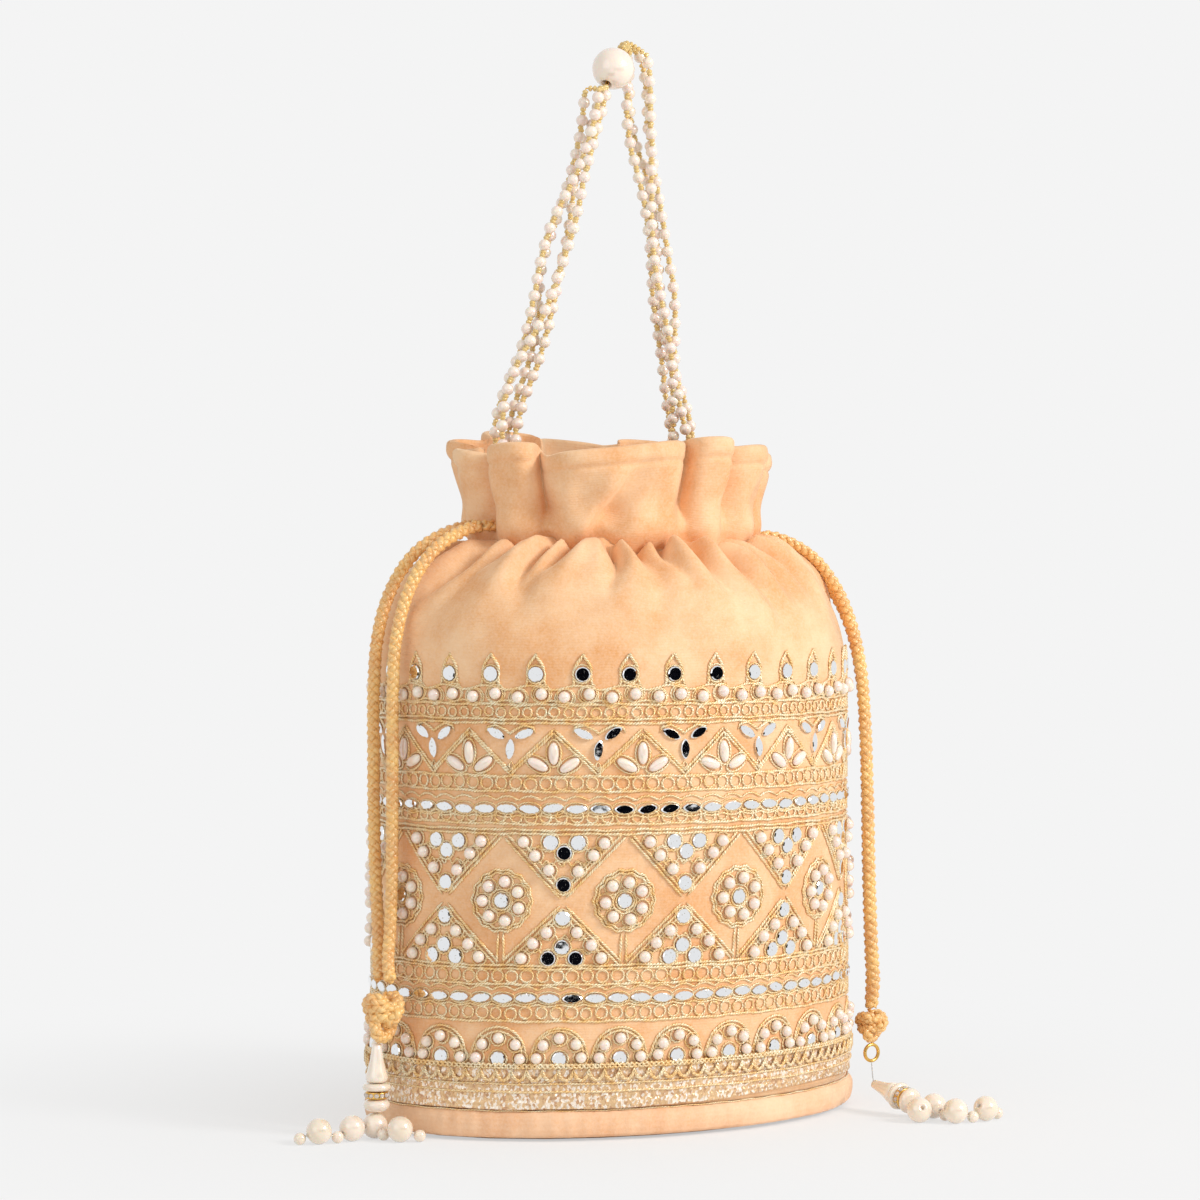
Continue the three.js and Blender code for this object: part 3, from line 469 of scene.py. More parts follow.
# Satin: a smooth weave with long soft creases
def satinMaterial(name, look):
    material, tree, shader = startMaterial(name, Roughness=0.38, Sheen_Weight=0.25, Specular_IOR_Level=0.5)
    place = objectPlace(tree)
    tone = rampBetween(tree, noiseNode(tree, place, scale=60, detail=3.0), 0.3, 0.7)
    connect(tree, mixColours(tree, tone, hue(*look["deep"]), hue(*look["pale"])), shader, "Base Color")
    threads = addNode(tree, "ShaderNodeTexWave", {"Vector": surfacePlace(tree), "Scale": 2.0})
    fine = bumpNode(tree, (threads, "Fac"), strength=0.12, distance=0.0002)
    creases = noiseNode(tree, place, scale=90)
    connect(tree, bumpNode(tree, creases, strength=0.3, distance=0.002, before=fine), shader, "Normal")
    return material


# Grey board: pressed paper fibres
def boardMaterial(name, look):
    material, tree, shader = startMaterial(name, Roughness=0.9)
    fibres = noiseNode(tree, objectPlace(tree), scale=500, detail=5.0, rough=0.7)
    connect(tree, mixColours(tree, fibres, hue(*look["deep"]), hue(*look["pale"])), shader, "Base Color")
    connect(tree, bumpNode(tree, fibres, strength=0.3, distance=0.0003), shader, "Normal")
    return material


# Gilt metal: polished, with fine scratches
def giltMaterial(name, look):
    material, tree, shader = startMaterial(name, Metallic=1.0)
    place = objectPlace(tree)
    wear = noiseNode(tree, place, scale=700, detail=3.0)
    connect(tree, mixColours(tree, wear, hue(*look["gold"]), hue(*look["pale"])), shader, "Base Color")
    rough = addNode(tree, "ShaderNodeMapRange", {"Value": wear, "To Min": 0.12, "To Max": 0.34})
    connect(tree, (rough, "Result"), shader, "Roughness")
    scratches = noiseNode(tree, place, scale=2500, detail=1.0)
    connect(tree, bumpNode(tree, scratches, strength=0.1, distance=0.0001), shader, "Normal")
    return material


# Clear or tinted glass and plastic
def clearMaterial(name, look):
    material, tree, shader = startMaterial(
        name, Roughness=0.08, IOR=look["index"], Transmission_Weight=look["clear"]
    )
    tone = noiseNode(tree, objectPlace(tree), scale=400)
    connect(tree, mixColours(tree, tone, hue(*look["tint"]), hue(*look["deep"])), shader, "Base Color")
    return material


finishes = {
    "velvet": velvetMaterial("velvet", {
        "deep": (232, 168, 108), "pale": (249, 205, 158), "tip": (254, 228, 204), "sheen": 0.85,
        "sheenTint": (255, 236, 208), "rib": 0.35,
    }),
    "hemVelvet": velvetMaterial("hem_velvet", {
        "deep": (238, 184, 138), "pale": (251, 210, 170), "tip": (255, 228, 206), "sheen": 0.7,
        "sheenTint": (255, 226, 206), "rib": 0.3,
    }),
    "zari": zariMaterial("zari", {
        # groove: painted shade between the plies
        "gold": (252, 208, 134), "pale": (255, 244, 208), "grooveShade": (216, 158, 84),
        "metal": 0.15, "twist": 1.1,
    }),
    "pearl": pearlMaterial("pearl", {"cream": (247, 232, 212), "pink": (246, 225, 211), "drift": 160}),
    "tasselPearl": pearlMaterial("tassel_pearl", {
        "cream": (240, 224, 200), "pink": (246, 230, 212), "drift": 90,
    }),
    "cone": pearlMaterial("cone", {"cream": (242, 224, 198), "pink": (252, 242, 230), "drift": 60}),
    "mirror": mirrorMaterial("mirror", {"silver": (238, 240, 242), "foxed": (176, 160, 134)}),
    "silk": silkMaterial("silk", {"deep": (226, 138, 40), "warm": (250, 184, 80), "bright": (255, 236, 180)}),
    "lace": laceMaterial("lace", {
        # silver: partly the lace's silver thread, partly painted glints
        "gold": (232, 196, 150), "tan": (206, 162, 124), "silver": (255, 242, 226),
    }),
    "satin": satinMaterial("satin", {"deep": (214, 180, 140), "pale": (236, 208, 172)}),
    "board": boardMaterial("board", {"deep": (150, 138, 118), "pale": (196, 184, 160)}),
    "gilt": giltMaterial("gilt", {"gold": (214, 158, 62), "pale": (246, 208, 128)}),
    "amber": clearMaterial("amber", {
        "tint": (255, 236, 176), "deep": (250, 208, 124), "index": 1.5, "clear": 0.3,
    }),
    "crystal": clearMaterial("crystal", {
        "tint": (255, 252, 248), "deep": (236, 236, 240), "index": 1.6, "clear": 0.5,
    }),
    "nylon": clearMaterial("nylon", {
        "tint": (250, 250, 250), "deep": (235, 235, 235), "index": 1.5, "clear": 0.8,
    }),
}
print("materials made")

# Hanging cords, by the points that the CAD cords have. Each point is the way beyond the end of an oval, the
# neck's, the waist's or the hem's, the place across and the height
cord = {
    "radius": 2.5,
    "neckHalf": 50,
    "waistHalf": 83,
    "hemHalf": 87,
    "strandPairs": 3,
    "strandRadius": 0.86,
    "strandWidth": 1.28,  # strands are squeezed flat, these are shares of their radius
    "strandDepth": 0.86,
    "weaveDepth": 0.46,
    "coreMargin": 0.1,
    "pitch": 8.6,
    "step": 0.66,
}
cordRoutes = {
    "drawcord_left_front": (-1, [
        (4, -3.3, 194.4), (8.5, -3.6, 193.4), (16, -4.6, 190.4), (23, -5.4, 185.8),
    ], [
        (-3.5, -6, 178), (1.4, -6.4, 168), (4.4, -6.7, 156), (5.6, -7, 140), (5.8, -7.2, 120), (6, -7.4, 100),
    ], [
        (2.6, -8.2, 80), (4.2, -10, 63), (6.8, -13.4, 52.6), (7.8, -16.7, 47.9),
    ]),
    "drawcord_left_back": (-1, [
        (4, 3.3, 194.4), (8.5, 3.5, 193.4), (16, 4.4, 190.4), (23, 5.2, 185.8),
    ], [
        (-3.5, 5.8, 178), (1.4, 6, 168), (4.4, 6, 156), (5.6, 5.9, 140), (5.8, 5.6, 120), (6, 5, 100),
    ], [
        (2.8, 2.4, 80), (4.8, -3, 63), (7.2, -7.6, 52.6), (8.6, -11.2, 47.9),
    ]),
    "drawcord_right_front": (1, [
        (4, -3.3, 188.8), (9.5, -4.2, 190.6), (17.2, -8.4, 188.4), (23.6, -14.6, 182.6),
    ], [
        (-5.2, -21.6, 172.6), (-3.1, -27.6, 160), (-2.6, -32.4, 145), (-3.4, -36, 125), (-4, -38.4, 100),
    ], [
        (-7.2, -38.2, 75), (-4.8, -36.2, 52), (-1.8, -33.2, 37.6), (-0.8, -30.6, 29.2),
    ]),
    "drawcord_right_back": (1, [
        (4, 3.3, 188.8), (10, 2.8, 190.6), (18.4, -0.4, 188.2), (26, -7.2, 182),
    ], [
        (-2.1, -14.8, 172), (0.4, -21.6, 160), (1.2, -26.6, 145), (0.6, -30.6, 125), (-0.4, -33, 100),
    ], [
        (-3.6, -32.6, 75), (-0.8, -29.8, 52), (2, -26.8, 37.6), (2.4, -25.6, 29.2),
    ]),
}


def cordPoints(side, beyondNeck, beyondWaist, beyondHem):
    groups = ((cord["neckHalf"], beyondNeck), (cord["waistHalf"], beyondWaist), (cord["hemHalf"], beyondHem))
    return [(side * (half + beyond), y, z) for half, group in groups for beyond, y, z in group]


# A round braid: pairs of strands wind the two ways round the line at one pace, and each goes over and under
# the others as the cosine of its turn times the number of pairs
def braidRings(shape, line, size=1.0, closed=False, sides=6):
    _, across, over = steadyFrames(line, closed)
    length = lengthAlong(line)
    total = length[-1]
    pairs = cord["strandPairs"]
    turns = total / (cord["pitch"] * size)
    if closed:
        turns = np.round(turns * pairs / 2) * 2 / pairs
    phase = length / total * turns * fullTurn
    reach = cord["radius"] - cord["strandRadius"] - cord["weaveDepth"]
    weave = cord["weaveDepth"] * np.cos(phase * pairs)
    for way in (1, -1):
        for strand in range(pairs):
            angle = (way * phase + strand / pairs * fullTurn)[:, None]
            out = np.cos(angle) * across + np.sin(angle) * over
            middle = line + size * (reach + way * weave)[:, None] * out
            tangent = unit(np.gradient(middle, axis=0))
            beside = unit(np.cross(tangent, out))
            turn = anglesRound(sides)
            wide = cord["strandRadius"] * size * cord["strandWidth"]
            thick = cord["strandRadius"] * size * cord["strandDepth"]
            ring = middle[:, None] + wide * np.cos(turn)[None, :, None] * beside[:, None]
            ring = ring + thick * np.sin(turn)[None, :, None] * out[:, None]
            addGrid(shape, ring, length, closedRows=closed)
    core = tubeRings(line, size * (reach + cord["coreMargin"]), 8, closed)
    addGrid(shape, core, length, closedRows=closed)


cordLines = {}
for name, route in cordRoutes.items():
    points = cordPoints(*route)
    length = lengthAlong(smoothLine(points, 60))[-1]
    cordLines[name] = smoothLine(points, int(length / cord["step"]))
    braid = newShape()
    braidRings(braid, cordLines[name])
    putMesh(name + "_braid", braid, finishes["silk"], replaces=(name,))
print("cords made")

# Body of the bag: ovals as half length and half width, and heights of its zones
bag = {
    "hem": (87, 61),
    "waist": (83, 70),
    "neck": (50, 41),
    "rim": (57, 48),
    "bottom": 6.7,
    "waistHeight": 98.4,
    "shoulderStart": 149.2,
    "neckHeight": 187.2,
    "frillHeight": 32,
    "shoulderRise": 38,
    "shoulderRun": 31,
    "neckGirth": 290,
    "wallGirth": 480,
    "cloth": 2.0,
    "frillCloth": 2.6,
    "columns": 424,
    "rows": {"wall": 36, "shoulder": 64, "frill": 50, "fold": 9, "inside": 32},
    "bulge": 1.5,
    "frontLean": 0.0915,  # how far the wall leans out per millimetre of height, at the front and the ends
    "endLean": 0.041,
}
ovalSteps = 720
wallLevels = 8

# Crevices of the frill: place round it in degrees, depth at the rim, and the side that the lip folds to
crevices = [
    (31, 8, 1), (63, 7, -1), (96, 9, 1), (128, 7, 1), (159, 8, -1), (184, 7, 1),
    (214, 9, -1), (273, 8.5, 1), (298, 6.5, -1), (327, 8.5, 1), (357, 8, -1),
]

# Gathers of the shoulder: share at the neck, drift of the share down to the wall, depth, width, and how far
# down the shoulder each one reaches, as a share of its turn
frontGathers = [
    (0.545, -0.055, 3.0, 3.0, 0.85), (0.575, -0.065, 2.8, 3.6, 0.90), (0.604, -0.020, 4.0, 2.0, 0.50),
    (0.626, -0.040, 2.8, 3.0, 0.65), (0.668, 0.000, 4.2, 2.2, 0.50), (0.694, 0.020, 2.8, 4.0, 0.75),
    (0.722, 0.010, 3.6, 2.6, 0.55), (0.752, 0.022, 3.0, 3.2, 0.70), (0.784, 0.030, 3.6, 3.0, 0.80),
    (0.815, 0.032, 2.4, 4.0, 0.75), (0.850, 0.020, 3.2, 2.6, 0.60), (0.893, 0.024, 2.8, 3.6, 0.80),
]


# Angle of the point a given share of the way round an oval, counted from +X by length
def ovalAngle(halfLength, halfWidth, share):
    steps = np.arange(ovalSteps + 1) / ovalSteps * fullTurn
    pace = np.hypot(halfLength * np.sin(steps), halfWidth * np.cos(steps))
    length = np.concatenate([[0], np.cumsum((pace[1:] + pace[:-1]) / 2)])
    turns = np.floor(share)
    return np.interp((share - turns) * length[-1], length, steps) + turns * fullTurn


# Place and outward direction at a share of the way round an oval
def ovalPoint(halfLength, halfWidth, share):
    angle = ovalAngle(halfLength, halfWidth, share)
    place = np.stack([halfLength * np.cos(angle), halfWidth * np.sin(angle)], -1)
    return place, unit(np.stack([halfWidth * np.cos(angle), halfLength * np.sin(angle)], -1))


# Half length and half width of the standing wall at a height: even between the hem's oval and the waist's
def wallHalf(height):
    share = np.clip(np.asarray(height) / bag["waistHeight"], 0, 1)
    return [low + (high - low) * share for low, high in zip(bag["hem"], bag["waist"])]


# Angles of the wall's points, worked out once for a table of heights and shares
wallTable = np.array([
    ovalAngle(*wallHalf(level), np.arange(ovalSteps + 1) / ovalSteps * 0.9999999)
    for level in np.linspace(0, bag["waistHeight"], wallLevels + 1)
])


# Length once round the wall, by the usual close formula for an ellipse
def girthAt(height):
    halfLength, halfWidth = wallHalf(height)
    return np.pi * (3 * (halfLength + halfWidth)
                    - np.sqrt((3 * halfLength + halfWidth) * (halfLength + 3 * halfWidth)))


# A point of the standing wall and its outward direction: the oval's point at that share and height, pushed
# out by lift and by the slow swell of the stuffed cloth, which fades towards the ends where the cords hang
def onWall(share, height, lift=0.0):
    share, height = np.broadcast_arrays(np.asarray(share, float), np.asarray(height, float))
    column = (share % 1) * ovalSteps
    i = np.minimum(column.astype(int), ovalSteps - 1)
    f = column - i
    level = np.clip(height / bag["waistHeight"], 0, 1) * wallLevels
    j = np.minimum(level.astype(int), wallLevels - 1)
    g = level - j
    low = wallTable[j, i] * (1 - f) + wallTable[j, i + 1] * f
    high = wallTable[j + 1, i] * (1 - f) + wallTable[j + 1, i + 1] * f
    angle = low * (1 - g) + high * g
    halfLength, halfWidth = wallHalf(height)
    outward = unit(np.stack([halfWidth * np.cos(angle), halfLength * np.sin(angle)], -1))
    swell = 0.5 + 0.25 * np.sin(3 * angle + height / 23 + 1.9) + 0.25 * np.sin(5 * angle - height / 17)
    rise = np.clip((height - 8) / 40, 0, 1) * np.clip((150 - height) / 25, 0, 1)
    out = lift + bag["bulge"] * swell * rise * np.sin(angle) ** 2
    place = np.stack([
        halfLength * np.cos(angle) + outward[..., 0] * out,
        halfWidth * np.sin(angle) + outward[..., 1] * out,
        height,
    ], -1)
    lean = bag["frontLean"] * outward[..., 1] ** 2 - bag["endLean"] * outward[..., 0] ** 2
    lean = np.where(height < bag["waistHeight"], lean, 0)
    return place, unit(np.concatenate([outward, -lean[..., None]], -1))


# Depth of a fold across its line, 1 at the bottom and falling off within about its width: one plus the
# squared share of distance to width, to the power of minus one and a half
def cusp(distance, width):
    return (1 + (distance / width) ** 2) ** -1.5


# How far a share of the way round is from another, the short way, in the units of the girth
def apart(share, middle, girth):
    return ((share - middle + 0.5) % 1 - 0.5) * girth


# What shapes the frill's petals. A width or place in a pair comes with its growth towards the foot or the rim
frill = {
    "flareGirth": 42,
    "lipShift": 3.8,
    "lipWidth": 2.6,
    "valleyWidth": (1.7, 3.2),
    "valleyParts": (0.7, 0.5),
    "petalEdge": (6.0, 3),
    "petalLift": 2.4,
    "sway": 1.0,
    "ripples": (0.9, 0.6),
    "dent": 6.5,
    "dentAt": (0.636, 0.07),
    "hemSeam": 4.8,
    "roll": 3.0,
    "lipPuff": 1.3,
    "slits": ((0.5, 7.2), (0.0, 1.6)),  # share and height above the neck of the cords' ways out
    "slitDepth": 2.4,
    "neckCrevice": 236,  # one more crevice, which shows only in the neck's line
    "neckClimb": 5.2,
}

# Height of the rim round the frill, petal by petal: degrees and millimetres above or below its mean
rimLine = np.array([
    (0, -2.2), (25, -1.0), (36, 1.4), (60, 2.6), (66, 0.6), (94, 2.4), (99, 4.0), (126, 4.6),
    (131, 2.0), (156, 1.2), (162, -0.6), (182, -1.4), (188, 0.4), (211, 1.6), (217, -2.6), (245, -0.4),
    (271, 2.6), (276, 3.4), (295, 3.2), (301, 1.0), (324, 0.6), (330, -0.8), (354, -3.2), (360, -2.2),
])


# The cinched line of the neck climbs at every crevice and hangs below each petal
def neckWave(share):
    lines = [frill["neckCrevice"]] + [degrees for degrees, _, _ in crevices]
    climb = sum(cusp(apart(share, degrees / 360, bag["neckGirth"]), 5.5) for degrees in lines)
    return frill["neckClimb"] * np.clip(climb, 0, 1) - 2.2 + 0.5 * np.sin(16 * fullTurn * share + 4.2)


# A bell curve, 1 where the value is at its middle: the exponential of minus the squared share of distance
# to width
def bell(value, middle, width):
    return np.exp(-(((value - middle) / width) ** 2))


# A share from 0 to 1 eased so that it starts and ends level: three times its square less twice its cube
def eased(share):
    return share * share * (3 - 2 * share)


# One ring of the frill at a rise from 0 at the neck to 1 at the rim. The oval flares as the sine of the rise.
# Crevices are cusps whose lips fold to one side, and the petals between them lift, sway and ripple. Blend
# goes from the outer face at 0 to the inner one at 1
def frillRing(rise, share, inner=False, above=0.0, blend=None):
    flare = np.sin(rise * np.pi / 2)
    half = [low + (high - low) * flare for low, high in zip(bag["neck"], bag["rim"])]
    girth = bag["neckGirth"] + frill["flareGirth"] * flare
    depthShare = 0.24 + 0.76 * eased(np.clip((rise - 0.1) / 0.38, 0, 1))
    narrow = frill["valleyWidth"][0] + frill["valleyWidth"][1] * (1 - rise) ** 1.3
    petalEdge = frill["petalEdge"][0] + frill["petalEdge"][1] * (1 - rise)
    near, wide = frill["valleyParts"]
    shift = np.zeros_like(share)
    openness = np.ones_like(share)
    folds = np.zeros_like(share)
    innerFolds = np.zeros_like(share)
    for degrees, depth, lip in crevices:
        distance = apart(share, degrees / 360, girth)
        shift = shift + lip * frill["lipShift"] * rise**0.6 * cusp(distance, frill["lipWidth"])
        valley = near * cusp(distance, narrow) + wide * cusp(distance, narrow + 6)
        folds = folds + depth * depthShare * valley
        ridge = near * cusp(distance, narrow + 2.2) + wide * cusp(distance, narrow + 7)
        innerFolds = innerFolds + depth * depthShare * ridge
        openness = openness - cusp(distance, petalEdge)
    openness = np.clip(openness, 0, 1)
    ripples = frill["ripples"][0] * np.sin(13 * fullTurn * share + 5 * rise)
    ripples = ripples + frill["ripples"][1] * np.sin(21 * fullTurn * share - 7 * rise)
    sway = frill["sway"] * rise**2 * np.sin(5 * fullTurn * share + 0.8)
    sway = sway + np.sin(np.pi * rise) * openness * ripples
    besideDent = apart(share, frill["dentAt"][0] + frill["dentAt"][1] * rise, girth)
    dent = np.where(besideDent < 0, cusp(besideDent, 2.2), cusp(besideDent, 9.0)) * bell(rise, 0.4, 0.32)
    petals = frill["petalLift"] * rise * openness - frill["dent"] * dent
    seam = 0.6 * bell((1 - rise) * bag["frillHeight"], frill["hemSeam"], 0.75)
    roll = frill["roll"] * bell(rise, 0.2, 0.17) * openness
    puff = 0.5 * frill["lipPuff"] * bell(rise, 0.93, 0.06) * openness
    slits = sum(
        bell(apart(share, end, girth), 0, 5.5) * bell(rise * bag["frillHeight"], high, 4.5)
        for end, high in frill["slits"]
    )
    outer = petals + sway + roll + puff - folds - seam - frill["slitDepth"] * slits
    innerLift = petals + sway + 0.4 * seam - innerFolds - bag["frillCloth"]
    lift = innerLift if inner else outer
    if blend is not None:
        lift = outer * (1 - blend) + innerLift * blend
    place, outward = ovalPoint(*half, share + shift / girth)
    angle = np.arctan2(place[:, 1], place[:, 0])
    back = np.clip(np.sin(angle), 0, 1)
    crest = bag["frillHeight"] + 2.0 * back + 1.4 * openness - 1.0
    crest = crest + np.interp(share * 360, rimLine[:, 0], rimLine[:, 1])
    height = bag["neckHeight"] + crest * rise + above + neckWave(share) * (1 - rise) ** 3
    return np.column_stack([place + outward * lift[:, None], height])


# What shapes the shoulder: depth of the gathers, the ridges on their two sides, the puff under the neck, and
# fine and slack waves
shoulder = {
    "gather": 1.7,
    "ridges": (1.1, 0.4),
    "puff": 2.6,
    "fine": 0.28,
    "slack": (0.9, 0.5),
}


# One ring of the shoulder at a turn from 0 at the wall to 1 at the neck, a quarter of an ellipse in profile.
# A gather is a cusp that widens and fades as it runs down, with a soft ridge on each side
def shoulderRing(turn, share, gathers, neckRing):
    reach, climb = np.cos(turn * np.pi / 2), np.sin(turn * np.pi / 2)
    half = [low + (high - low) * reach for low, high in zip(bag["neck"], bag["waist"])]
    girth = bag["neckGirth"] + (bag["wallGirth"] - bag["neckGirth"]) * reach
    place, outward = ovalPoint(*half, share)
    lift = np.zeros_like(share)
    closeness = np.zeros_like(share)
    for middle, drift, depth, width, length in gathers:
        down = np.clip((1 - turn) / (1.25 * length), 0, 1)
        here = middle + drift * (1 - turn) + 0.004 * np.sin(9 * turn + 40 * middle)
        wide = width * (0.6 + 1.5 * (1 - turn))
        distance = apart(share, here, girth)
        fade = (1 - down**1.4) ** 1.3
        lift = lift - shoulder["gather"] * depth * fade * cusp(distance, wide)
        lift = lift + shoulder["ridges"][0] * depth * fade * bell(distance, 2.4 * wide, 1.4 * wide)
        lift = lift + shoulder["ridges"][1] * depth * fade * bell(distance, -2.6 * wide, 1.2 * wide)
        closeness = closeness + cusp(distance, 2.4 * wide)
    puff = shoulder["puff"] * bell(turn, 0.84, 0.13) * np.clip(1 - 0.8 * closeness, 0, 1)
    fine = shoulder["fine"] * np.sin(71 * fullTurn * share + 3 * np.sin(7 * fullTurn * share))
    slack = shoulder["slack"][0] * np.sin(4 * fullTurn * share + 5 * turn)
    slack = slack + shoulder["slack"][1] * np.sin(11 * fullTurn * share - 7 * turn)
    lift = lift + puff + fine * np.clip(turn * 3 - 2, 0, 1) + slack * np.sin(np.pi * turn)
    rise, run = bag["shoulderRise"] * reach, bag["shoulderRun"] * climb
    level = bag["shoulderStart"] + bag["shoulderRise"] * climb
    height = level + lift * run / np.hypot(rise, run)
    ring = np.column_stack([place + outward * (lift * rise / np.hypot(rise, run))[:, None], height])
    blend = eased(np.clip((turn - 0.9) / 0.1, 0, 1))
    pulled = place + neckRing[:, :2] - ovalPoint(*bag["neck"], share)[0]
    level = level + neckWave(share)
    return ring * (1 - blend) + np.column_stack([pulled, level]) * blend


# A level ring of an oval, inset from its half length and half width
def levelRing(half, share, height, inset=0.0):
    place, _ = ovalPoint(half[0] - inset, half[1] - inset, share)
    return np.column_stack([place, np.full(len(share), height)])


# UV round a piece of so many columns: millimetres, with the seam's second edge
def roundUv(columns, girth):
    return np.arange(columns + 1) / columns * girth


# The gathers that the photograph doesn't show are drawn at random: drift, depth, width and length
def hiddenGathers(count=15):
    shares = np.sort(dice.uniform(-0.09, 0.53, count))
    ranges = ((-0.02, 0.02), (1.8, 4), (2, 4.4), (0.45, 0.85))
    return [(share % 1, *[dice.uniform(low, high) for low, high in ranges]) for share in shares]


# The velvet: up the wall, over the shoulder, out over the frill, round its folded rim and down the inside
def makeVelvet():
    share = sharesRound(bag["columns"])
    count = bag["rows"]
    gathers = frontGathers + hiddenGathers()
    heights = np.linspace(bag["bottom"], bag["shoulderStart"], count["wall"])
    rows = [onWall(share, height)[0] for height in heights]
    neckRing = frillRing(0.0, share)
    for turn in np.linspace(0, 1, count["shoulder"])[1:-1]:
        rows.append(shoulderRing(turn, share, gathers, neckRing))
    for rise in np.linspace(0, 1, count["frill"]):
        rows.append(frillRing(rise, share))
    for bend in np.linspace(0, np.pi, count["fold"])[1:-1]:
        rows.append(frillRing(1.0, share, above=1.5 * np.sin(bend), blend=(1 - np.cos(bend)) / 2))
    for rise in np.linspace(1, 0.12, count["inside"]):
        rows.append(frillRing(rise, share, inner=True))
    # Inside the neck, the shoulder and the wall the cloth is a plain shell
    for height in (190.5, 185.8):
        rows.append(levelRing(bag["neck"], share, height, 4.6))
    midShoulder = [low + (high - low) * np.cos(np.pi / 4) for low, high in zip(bag["neck"], bag["waist"])]
    rows.append(levelRing(midShoulder, share, 174.7, 5))
    for height in (bag["shoulderStart"], bag["waistHeight"], bag["bottom"]):
        rows.append(levelRing(wallHalf(height), share, height, bag["cloth"]))
    rows = np.array(rows)
    shape = newShape()
    along = lengthAlong(rows[:, 300])
    addGrid(shape, rows, along, roundUv(bag["columns"], bag["wallGirth"]), closedRows=True)
    velvet = putMesh("velvet", shape, finishes["velvet"], replaces=("velvet_bag",))
    print("velvet made,", rows.shape)


makeVelvet()

# Embroidery, all counted by share of the way round. Threads are thin tubes laid on the wall
stitching = {
    "turn": 0.011,
    "threadRadius": 0.42,
    "threadSides": 4,
    "plump": 1.16,
    "lump": 1.7,
    "swell": 0.26,
    "thinEnd": 0.3,
    "pearlRadius": 1.95,
    "mirrorRadius": 2.45,
    "leaf": (6.6, 3.1),
    "rice": (7.2, 3.4),
    "gaugeError": 0.12,
    "placeError": 0.15,
    "turnError": 4,
    "mirrorTilt": 0.03,
}
zariLines, zariMotifs, zariLoops = newShape(), newShape(), newShape()
pearlsAt, ricesAt, mirrorsAt, leavesAt = [], [], [], []


# Lays threads: share and height are (threads, points) of each thread's line on the wall, and rings go round
# it. Their radius swells and shrinks as a sine of the length, where stitches pull the thread down
def layThread(shape, share, height, radius=None, lift=0.3, closed=False):
    radius = stitching["threadRadius"] if radius is None else radius
    share, height = np.broadcast_arrays(np.atleast_2d(share), np.atleast_2d(height))
    place, normal = onWall(share, height, lift)
    if closed:
        tangent = unit(np.roll(place, -1, 1) - np.roll(place, 1, 1))
    else:
        tangent = unit(np.gradient(place, axis=1))
    beside = unit(np.cross(normal, tangent))
    length = lengthAlong(place)
    swell = 1 + stitching["swell"] * np.sin(length * fullTurn / stitching["lump"])
    lumps = stitching["plump"] * radius * swell
    if not closed:
        lumps[:, [0, -1]] *= stitching["thinEnd"]
    ring = lumps[:, :, None, None] * circleOf(beside, normal, stitching["threadSides"])
    addGrid(shape, place[:, :, None] + ring, length, closedRows=closed)


# The same motif at many places: u and v are its line in millimetres round and up from each middle
def layMotif(shape, shares, height, u, v, **settings):
    shares = np.atleast_1d(shares)[:, None]
    jitter = dice.normal(0, stitching["gaugeError"], (len(shares), 2))
    share = shares + (np.asarray(u)[None] + jitter[:, :1]) / girthAt(height)
    layThread(shape, share, height + np.asarray(v)[None] + jitter[:, 1:], **settings)


# Rings of thread of a given reach: their height is tall times their width
def layRing(shape, shares, height, reach, points=14, u=0.0, v=0.0, tall=1.0, **settings):
    angle = anglesRound(points)
    layMotif(shape, shares, height, u + reach * np.cos(angle), v + reach * tall * np.sin(angle),
             closed=True, **settings)


# The u and v of a straight thread, with a point at about every step
def straight(first, last, step=1.15):
    first, last = np.array(first, float), np.array(last, float)
    count = max(3, int(np.linalg.norm(last - first) / step) + 1)
    line = first + (last - first) * np.linspace(0, 1, count)[:, None]
    return line[:, 0], line[:, 1]


# Two threads side by side, half a gap to each side of the line
def doubleLine(shape, shares, height, u, v, gap, **settings):
    u, v = np.asarray(u, float), np.asarray(v, float)
    along = unit(np.stack([np.gradient(u), np.gradient(v)], -1))
    for side in (-gap / 2, gap / 2):
        layMotif(shape, shares, height, u - along[:, 1] * side, v + along[:, 0] * side, **settings)


# Pearls and mirrors are noted here, each in its ring of thread, and made together later
def sewPearls(shares, height, u=0.0, v=0.0, radius=stitching["pearlRadius"]):
    error = dice.normal(0, stitching["placeError"], (2, len(shares)))
    pearlsAt.append((shares + (u + error[0]) / girthAt(height), height + v + error[1], radius))
    layRing(zariLoops, shares, height, radius + 0.65, 10, u, v, radius=0.36, lift=0.25)


def sewMirrors(shares, height, u=0.0):
    mirrorsAt.append((shares + u / girthAt(height), height + 0 * shares))
    layRing(zariLoops, shares, height, stitching["mirrorRadius"] + 0.55, 12, u, radius=0.36, lift=0.3)


# Leaf mirrors or rice pearls, turned by so many degrees from lying along the band
def sewLeaves(group, shares, height, turn, u=0.0):
    turns = np.radians(turn + dice.normal(0, stitching["turnError"], len(shares)))
    uneven = dice.normal(0, stitching["placeError"], len(shares))
    group.append((shares + u / girthAt(height), height + uneven, turns))


# Repeated places round the bag, with the pattern's own turn
def places(count, shift=0.0):
    return (np.arange(count) + shift) / count + stitching["turn"]


# A closed line of thread round the bag
def layRound(shape, share, height, radius, lift=0.3):
    layThread(shape, share, height, radius=radius, lift=lift, closed=True)


